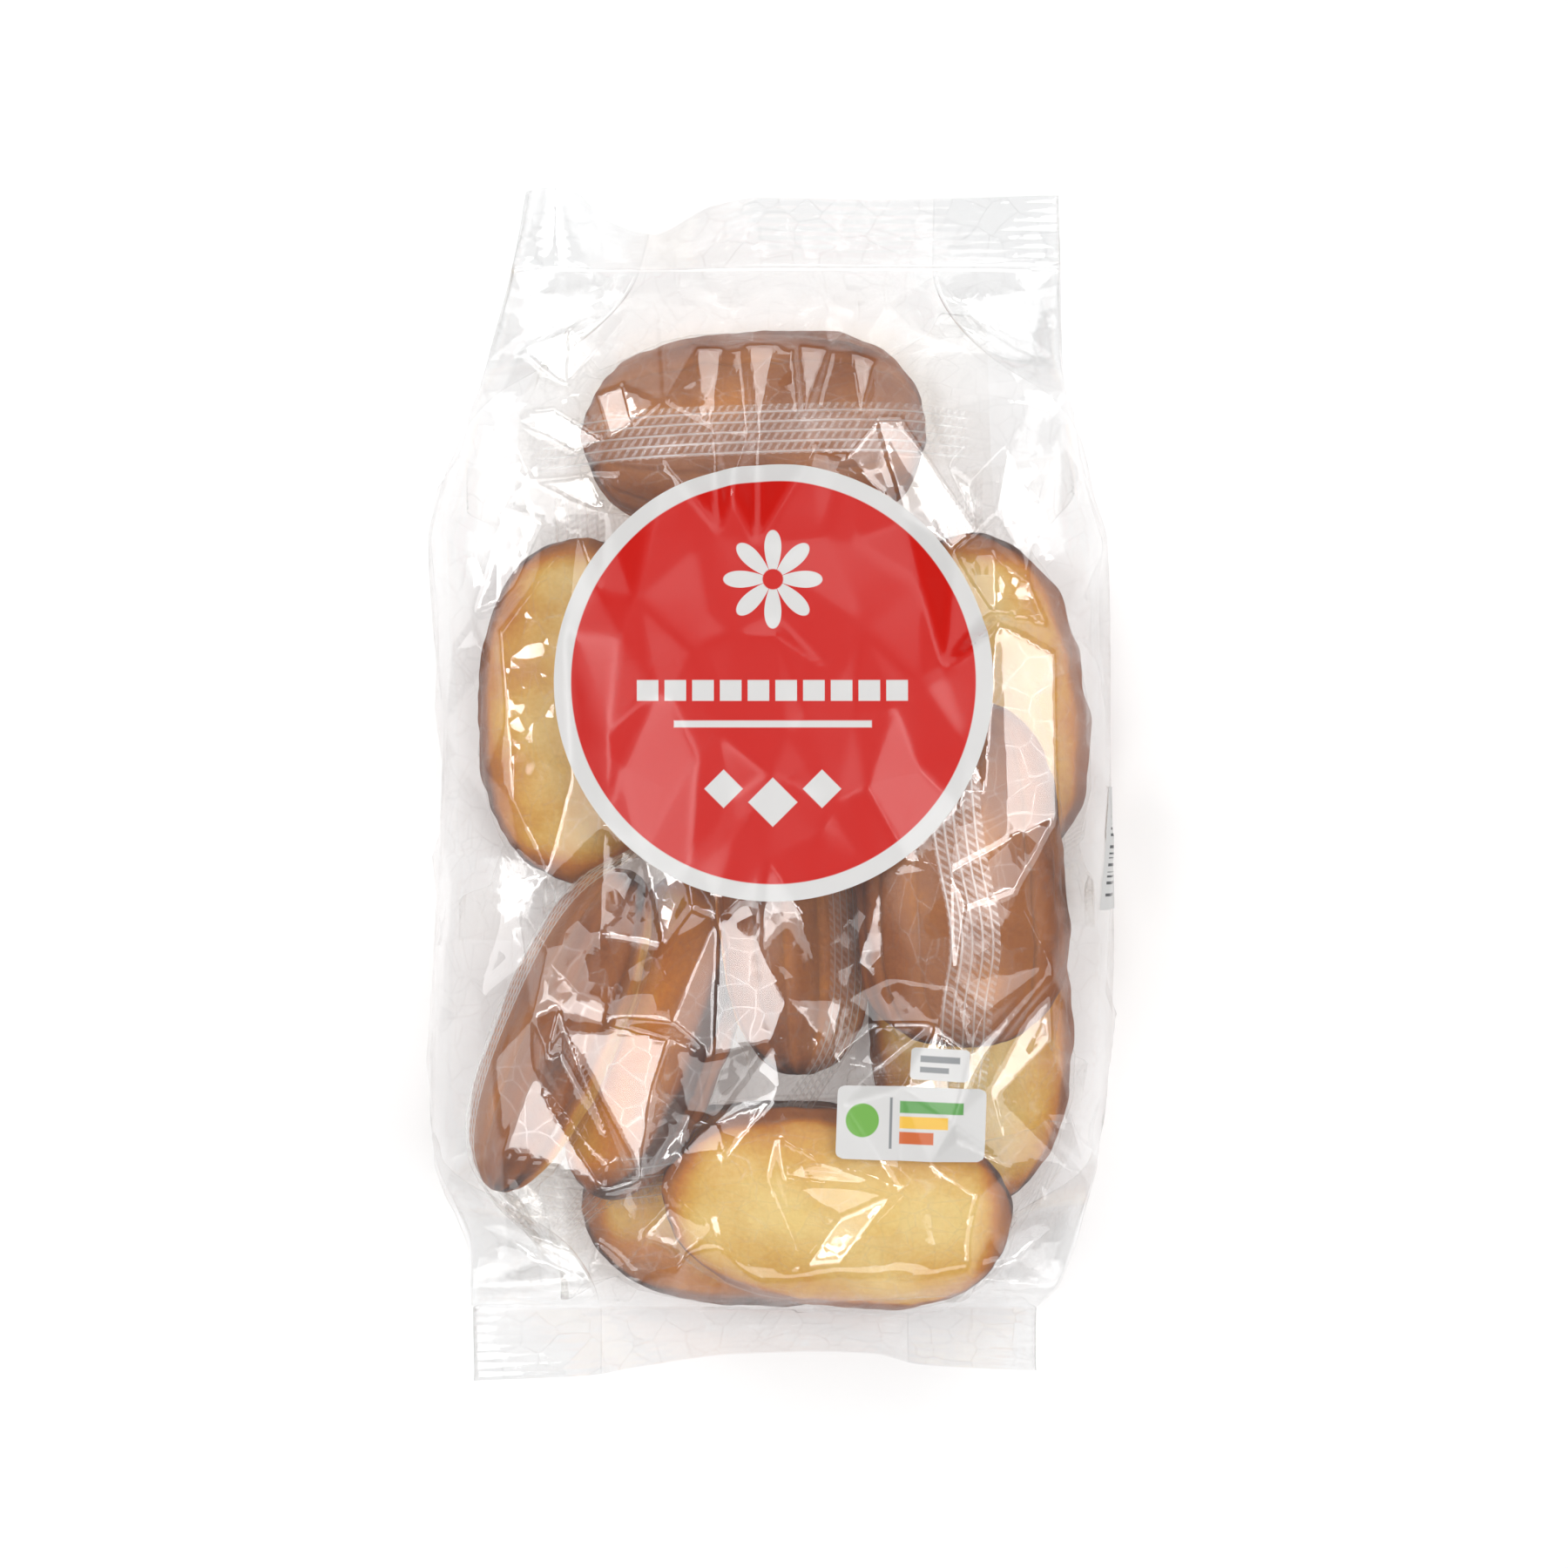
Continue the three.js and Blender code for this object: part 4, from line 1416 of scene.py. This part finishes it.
# %% Cake
BAKE_COLOURS = [
    # bake, colour as red, green, blue from 0 to 1 as on a screen
    [0.0, (0.94, 0.81, 0.50)],
    [0.22, (0.87, 0.66, 0.27)],
    [0.42, (0.77, 0.47, 0.13)],
    [0.6, (0.63, 0.37, 0.15)],
    [0.8, (0.54, 0.29, 0.11)],
    [1.0, (0.27, 0.12, 0.05)],
]


def from_screen(colour):
    """A screen colour as the light it stands for."""
    c = np.array(colour)
    return (*np.where(c < 0.04045, c / 12.92, ((c + 0.055) / 1.055) ** 2.4), 1)


def colour_ramp(amount, colours):
    """A colour looked up in a table by an amount from 0 to 1."""
    ramp = add_node(amount.socket.id_data, "ShaderNodeValToRGB", {"Fac": amount}, "Color")
    elements = ramp.socket.node.color_ramp.elements
    while len(elements) > 1:
        elements.remove(elements[-1])
    for k, (at, colour) in enumerate(colours):
        element = elements[0] if k == 0 else elements.new(at)
        element.position = at
        element.color = from_screen(colour)
    return ramp


def cake_material():
    """Sponge: the bake mask with some uneven patches gives the colour, and small pores are dips."""
    material, tree = new_material("cake_crumb")
    place = add_node(tree, "ShaderNodeTexCoord", None, "Object")
    patches, fine = noise(place, 90.0, 5.0, Roughness=0.6), noise(place, 900.0, 3.0, Roughness=0.6)
    amount = attribute(tree, "bake", "Fac") + (patches - 0.5) * 0.28 + (fine - 0.5) * 0.16
    cells = {"Vector": place, "Scale": 420.0, "Randomness": 1.0}
    pores = add_node(tree, "ShaderNodeTexVoronoi", cells, "Distance")
    look = {
        "Base Color": colour_ramp(amount, BAKE_COLOURS),
        "Roughness": 0.68,
        "Specular IOR Level": 0.3,
        "Normal": bumped(calc("MINIMUM", pores * 2.6, 1.0) * 0.5 + fine * 0.5, 0.8, 0.35 * MM),
        "Subsurface Weight": 0.12,
        "Subsurface Radius": (0.004, 0.002, 0.001),
        "Subsurface Scale": 1.0,
    }
    show(tree, add_node(tree, "ShaderNodeBsdfPrincipled", look))
    return material


# %% Make the cakes, wrappers and film
OWN_APART = 60.0


def let_light_through(piece):
    """Light on its way to a surface passes film untouched, so film doesn't darken what lies under it."""
    piece.visible_shadow = False
    piece.visible_diffuse = False


cake_finish = cake_material()
cake_faces = [grid_quads(CAKE_ROWS, CAKE_COLUMNS, True), pole_caps(CAKE_ROWS, CAKE_COLUMNS)]
for name, points in cake_points.items():
    make_piece(f"cake_{name}", points, cake_faces, cake_finish, masks={"bake": cake_bakes[name]})

# Each wrapper's own place is its length along, its width across and its height, set apart from the
# others. The layer mask fades the film out towards the crimped ends.
across_mm = np.linspace(-STRIP_WIDTH / 2, STRIP_WIDTH / 2, STRIP_COLUMNS)[None, :]
end_fade = 1 - 0.9 * smooth(46, 54, np.abs(along_mm))
for k, (name, (centre, turn)) in enumerate(cakes.items()):
    apart = OWN_APART * k
    local = (wrap_points[k] - centre) @ turn
    tube_own = (along_mm, local[..., 1] + apart, local[..., 2])
    strip_own = (along_mm, across_mm, apart)
    for kind, points, wrap, finish, own in (
        ("wrapper", wrap_points[k], True, wrapper_material, tube_own),
        ("strip", strips[k], False, strip_material, strip_own),
    ):
        own = np.stack(np.broadcast_arrays(*own), -1)
        masks = {"own": own * MM, "layer": np.broadcast_to(end_fade, own.shape[:2])}
        faces = grid_quads(*own.shape[:2], wrap)
        let_light_through(make_piece(f"{kind}_{name}", points, faces, finish, masks=masks))

panel = film_columns()[0]
faces = grid_quads(*film_points.shape[:2], True)[:, ::-1]
seal_fade = 1 - 0.85 * smooth(10, 0, from_seals(film_points[..., 1])) * (panel % 3 != 1)[None, :]
masks = {"layer": seal_fade}
bag_film = make_piece("bag_film", film_points, faces, bag_film_material, masks=masks)
let_light_through(bag_film)
inside = [o for o in bpy.data.objects if o.name.startswith(("cake_", "wrapper_", "strip_"))]
for piece in [bag_film, *inside]:
    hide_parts("bag")

# %% [markdown]
# ## The labels
#
# The labels are thin satin stickers on the outside of the film, so they take its folds. Each is a
# grid laid on the film from above with a Shrinkwrap, a fifth of a millimetre over it. The print is
# worked out from the label's own UV map, in millimetres from its middle, as simple shapes.

# %% Print: masks from simple shapes
UV_MM = 120.0
PRINT_EDGE = 0.25


def soft_edge(distance):
    """1 where distance is below 0, and 0 beyond the print's soft edge."""
    return map_range(distance, 0.0, PRINT_EDGE, 1.0, 0.0)


def far_from(x, y, cx, cy):
    """The distance from a point, and the way from it along x and y."""
    dx, dy = x - cx, y - cy
    return calc("SQRT", dx * dx + dy * dy), dx, dy


def disc(x, y, cx, cy, radius):
    """A round spot."""
    return soft_edge(far_from(x, y, cx, cy)[0] - radius)


def bar(x, y, cx, cy, width, height):
    """An upright rectangle."""
    return soft_edge(calc("MAXIMUM", abs(x - cx) - width / 2, abs(y - cy) - height / 2))


def diamond(x, y, cx, cy, size):
    """A square on its corner."""
    return soft_edge(abs(x - cx) + abs(y - cy) - size)


def daisy(x, y, cx, cy, radius, petals, eye):
    """Petals whose tip reaches radius times a root of the size of a cosine of the angle round."""
    far, dx, dy = far_from(x, y, cx, cy)
    wave = abs(calc("COSINE", calc("ARCTAN2", dy, dx) * (petals / 2)))
    return soft_edge(far - wave**0.6 * radius) * (1.0 - soft_edge(far - eye))


def dashes(x, y, cx, cy, width, height, pitch, gap):
    """A bar cut into dashes, one every pitch, with a gap that is a share of it."""
    beat = calc("FRACT", (x + 100.0) * (1 / pitch))
    return bar(x, y, cx, cy, width, height) * calc("GREATER_THAN", beat, gap)


def uneven_bars(x, y, cx, cy, width, height):
    """Upright bars whose gaps come from two beats that don't match."""
    first = calc("GREATER_THAN", calc("SINE", y * 4.6), 0.0)
    second = calc("GREATER_THAN", calc("SINE", y * 2.9), -0.35)
    return first * second * bar(x, y, cx, cy, width, height)


def ink(under, mask, over):
    """One colour printed over another where mask is 1."""
    inputs = {0: mask, 6: under, 7: over}
    return add_node(mask.socket.id_data, "ShaderNodeMix", inputs, 2, data_type="RGBA")


# %% Print of each label
WHITE = (0.84, 0.835, 0.83)
RED = (0.78, 0.08, 0.04)
GREY = (0.52, 0.53, 0.54)
DARK = (0.25, 0.25, 0.26)
ROUND_RADIUS = 49.2
RED_RADIUS = 45.2
MARKS = {
    # for each label, in print order: a shape, its middle and sizes in mm, and its colour
    "round_label": [
        (disc, (0, 0, RED_RADIUS), RED),
        (daisy, (0, 23, 11, 8, 2.2), WHITE),
        (dashes, (0, -2, 61, 4.4, 6.2, 0.22), WHITE),
        (bar, (0, -9.5, 44, 1.3), WHITE),
        (diamond, (-11, -24, 4.2), WHITE),
        (diamond, (0, -27, 5.4), WHITE),
        (diamond, (11, -24, 4.2), WHITE),
    ],
    "info_label": [
        (disc, (-11, 0.5, 3.6), (0.45, 0.68, 0.30)),
        (bar, (-4.6, 0, 0.35, 11), GREY),
        (bar, (4.5, 3.6, 14, 2.4), (0.38, 0.62, 0.33)),
        (bar, (2.8, 0.2, 10.6, 2.4), (0.93, 0.74, 0.28)),
        (bar, (1.2, -3.2, 7.4, 2.4), (0.80, 0.40, 0.20)),
    ],
    "count_label": [
        (bar, (0, 1.1, 8.6, 1.2), GREY),
        (bar, (-1.2, -1.3, 6.2, 1.0), GREY),
    ],
    "side_label": [(uneven_bars, (1, 0, 12, 22), DARK)],
}


def print_material(label):
    """Smooth printed film with a label's marks on a slightly mottled white."""
    material, tree = new_material(f"{label}_print")
    uv = add_node(tree, "ShaderNodeUVMap", None, "UV", uv_map="UVMap")
    across = add_node(tree, "ShaderNodeSeparateXYZ", {"Vector": uv})
    x, y = (across - 0.5) * UV_MM, (across.beside(1) - 0.5) * UV_MM
    place = add_node(tree, "ShaderNodeTexCoord", None, "Object")
    dull, bright = from_screen([c * 0.97 for c in WHITE]), from_screen([min(c * 1.03, 1) for c in WHITE])
    colour = ink(dull, noise(place, 40.0, 2.0), bright)
    for shape, sizes, tone in MARKS[label]:
        colour = ink(colour, shape(x, y, *sizes), from_screen(tone))
    look = {
        "Base Color": colour,
        "Roughness": 0.32,
        "Specular IOR Level": 0.3,
        "Normal": crumpled(place, 20, 0.05)[0],
        "Coat Weight": 0.24,
        "Coat Roughness": 0.1,
    }
    show(tree, add_node(tree, "ShaderNodeBsdfPrincipled", look))
    return material


prints = {label: print_material(label) for label in MARKS}

# %% Lay the labels on the film
LABEL_OVER = 0.2
DROP_FROM = 90.0


def lay_on_film(node, points, faces, uv):
    """A label dropped on the film from above, then raised to lie just over it."""
    name = f"{node}_skin"
    points = np.column_stack([points, np.full(len(points), DROP_FROM)])
    piece = make_piece(name, points, faces, prints[node], uv=uv)
    wrap = piece.modifiers.new("lay", "SHRINKWRAP")
    wrap.target = bag_film
    wrap.wrap_method = "PROJECT"
    wrap.use_project_z = True
    wrap.use_negative_direction = True
    wrap.use_positive_direction = False
    laid = bpy.data.meshes.new_from_object(piece.evaluated_get(bpy.context.evaluated_depsgraph_get()))
    co = np.empty(len(laid.vertices) * 3, np.float32)
    laid.vertices.foreach_get("co", co)
    co[2::3] += LABEL_OVER * MM
    laid.vertices.foreach_set("co", co)
    piece.modifiers.clear()
    old, piece.data = piece.data, laid
    bpy.data.meshes.remove(old)
    laid.name = name
    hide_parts(node)


def round_sheet(radius, rings, spokes):
    """Rings of points round a middle point, each with the same number of spokes, and their faces."""
    angle = np.linspace(0, 2 * math.pi, spokes, endpoint=False)
    far = np.linspace(radius / rings, radius, rings)[:, None, None]
    ring_points = (far * np.stack([np.cos(angle), np.sin(angle)], -1)).reshape(-1, 2)
    first = 1 + np.arange(spokes)
    fan = np.stack([np.zeros_like(first), first, np.roll(first, -1)], -1)
    return np.concatenate([[[0, 0]], ring_points]), [fan, 1 + grid_quads(rings, spokes, True)[:, ::-1]]


def rounded_sheet(width, height, corner, rows, columns):
    """A rectangle with round corners, and its faces: each row is narrowed near the top and bottom by
    a quarter circle."""
    y = np.linspace(-height / 2, height / 2, rows)
    into = np.clip(np.abs(y) - (height / 2 - corner), 0, corner)
    half = width / 2 - corner + np.sqrt(np.maximum(corner**2 - into**2, 0))
    x = half[:, None] * np.linspace(-1, 1, columns)
    points = np.stack([x, np.broadcast_to(y[:, None], x.shape)], -1).reshape(-1, 2)
    return points, grid_quads(rows, columns, False)


def turned(points, degrees, middle):
    """Flat points turned about their own middle, which is then put in its place on the bag."""
    c, s = math.cos(math.radians(degrees)), math.sin(math.radians(degrees))
    return points @ np.array([[c, s], [-s, c]]) + np.array(middle) + SHIFT[:2]


for node, slot, (points, faces), degrees, middle in (
    ("round_label", "red_print", round_sheet(ROUND_RADIUS, 70, 220), 0, ROUND_LABEL),
    ("info_label", "white_print", rounded_sheet(33.5, 16.4, 1.6, 34, 68), -2, (31.5, -76.5)),
    ("count_label", "white_print", rounded_sheet(13.2, 7.2, 0.8, 18, 32), -3, (38, -63.4)),
):
    lay_on_film(node, turned(points, degrees, middle), faces, points / UV_MM + 0.5)

# %% The side label, round the bag's edge
SIDE_LABEL_Y = np.linspace(-29, -1, 40)
SIDE_LABEL_UP = np.linspace(-3, 15, 30)
SIDE_LABEL_MIDDLE = (6, -15)


def side_label_points():
    """Points on the film round its right side: for each row the nearest film row, measured off from
    the bag's waist by length."""
    body = film_points[FIN_ROWS:-FIN_ROWS]
    back = body[:, ::-1][:, : PLEAT_COLUMNS + 10]
    ring = np.concatenate([back[:, ::-1], body[:, : PLEAT_COLUMNS + 80]], 1)
    rows = []
    for k in np.interp(SIDE_LABEL_Y, body[:, PLEAT_COLUMNS, 1], np.arange(len(body))):
        low = int(k)
        path = mix(ring[low], ring[low + 1], k - low)
        length = lengths_along(path)
        rows.append(at_lengths(SIDE_LABEL_UP, length - length[back.shape[1]], path))
    return np.stack(rows)


points = side_label_points()
normals = sheet_normals(points, False)
points = points + normals * LABEL_OVER * np.sign((normals[..., 0] > 0).mean() - 0.5)
up, along = SIDE_LABEL_UP[None, :] - SIDE_LABEL_MIDDLE[0], SIDE_LABEL_Y[:, None] - SIDE_LABEL_MIDDLE[1]
uv = np.stack(np.broadcast_arrays(up, along), -1) / UV_MM + 0.5
faces = grid_quads(*points.shape[:2], False)[:, ::-1]
side_label = make_piece("side_label_skin", points, faces, prints["side_label"], uv=uv)
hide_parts("side_label")

# %% [markdown]
# ## The stage
#
# A white floor that glows a little, so that it stays white round the bag, the lamps of the table
# above, and a sky that is bright at the horizon and dim overhead, so that the flat film doesn't
# mirror it.

# %% The stage
STAGE_SIZE = 1.4
FLOOR_BELOW = 0.4
FLOOR_GLOW = 0.2


def floor_material():
    """Matt white with a fine grain and a glow."""
    material, tree = new_material("floor_white")
    grain = noise(add_node(tree, "ShaderNodeTexCoord", None, "Object"), 60.0, 2.0)
    look = {
        "Base Color": (0.85, 0.85, 0.85, 1),
        "Roughness": 0.9,
        "Normal": bumped(grain, 0.02, 0.5 * MM),
        "Emission Color": (1, 1, 1, 1),
        "Emission Strength": FLOOR_GLOW,
    }
    show(tree, add_node(tree, "ShaderNodeBsdfPrincipled", look))
    return material


def link_new(name, data):
    """A new object in the scene."""
    thing = bpy.data.objects.new(name, data)
    bpy.context.scene.collection.objects.link(thing)
    return thing


floor_mesh = bpy.data.meshes.new("floor")
reach = STAGE_SIZE / 2
sides = ((-reach, -reach), (reach, -reach), (reach, reach), (-reach, reach))
floor_mesh.from_pydata([(x, y, -FLOOR_BELOW * MM) for x, y in sides], [], [(0, 1, 2, 3)])
floor_mesh.materials.append(floor_material())
floor = link_new("floor", floor_mesh)

for name, (azimuth, lean, distance, size, power) in LAMPS.items():
    light = bpy.data.lights.new(name, "AREA")
    light.shape = "RECTANGLE"
    light.size, light.size_y = size
    light.energy = power
    lamp = link_new(name, light)
    way = Vector(lamp_way(name))
    lamp.location = way * distance
    lamp.rotation_euler = (-way).to_track_quat("-Z", "Y").to_euler()

world = bpy.data.worlds.new("studio")
world.use_nodes = True
sky = world.node_tree
way = add_node(sky, "ShaderNodeTexCoord", None, "Generated")
way_up = add_node(sky, "ShaderNodeSeparateXYZ", {"Vector": way}, 2)
glow = map_range(way_up, 0.0, 0.35, 0.9, 0.035, interpolation_type="SMOOTHSTEP")
background = sky.nodes["Background"].inputs
background["Color"].default_value = (1, 1, 1, 1)
sky.links.new(glow.socket, background["Strength"])
scene = bpy.context.scene
scene.world = world
scene.view_settings.view_transform = "Standard"
scene.cycles.transparent_max_bounces = 32

camera_data = bpy.data.cameras.new("camera")
camera_data.lens = 100
camera_data.sensor_width = 36
camera = link_new("camera", camera_data)
camera.location = CAMERA * MM
scene.camera = camera
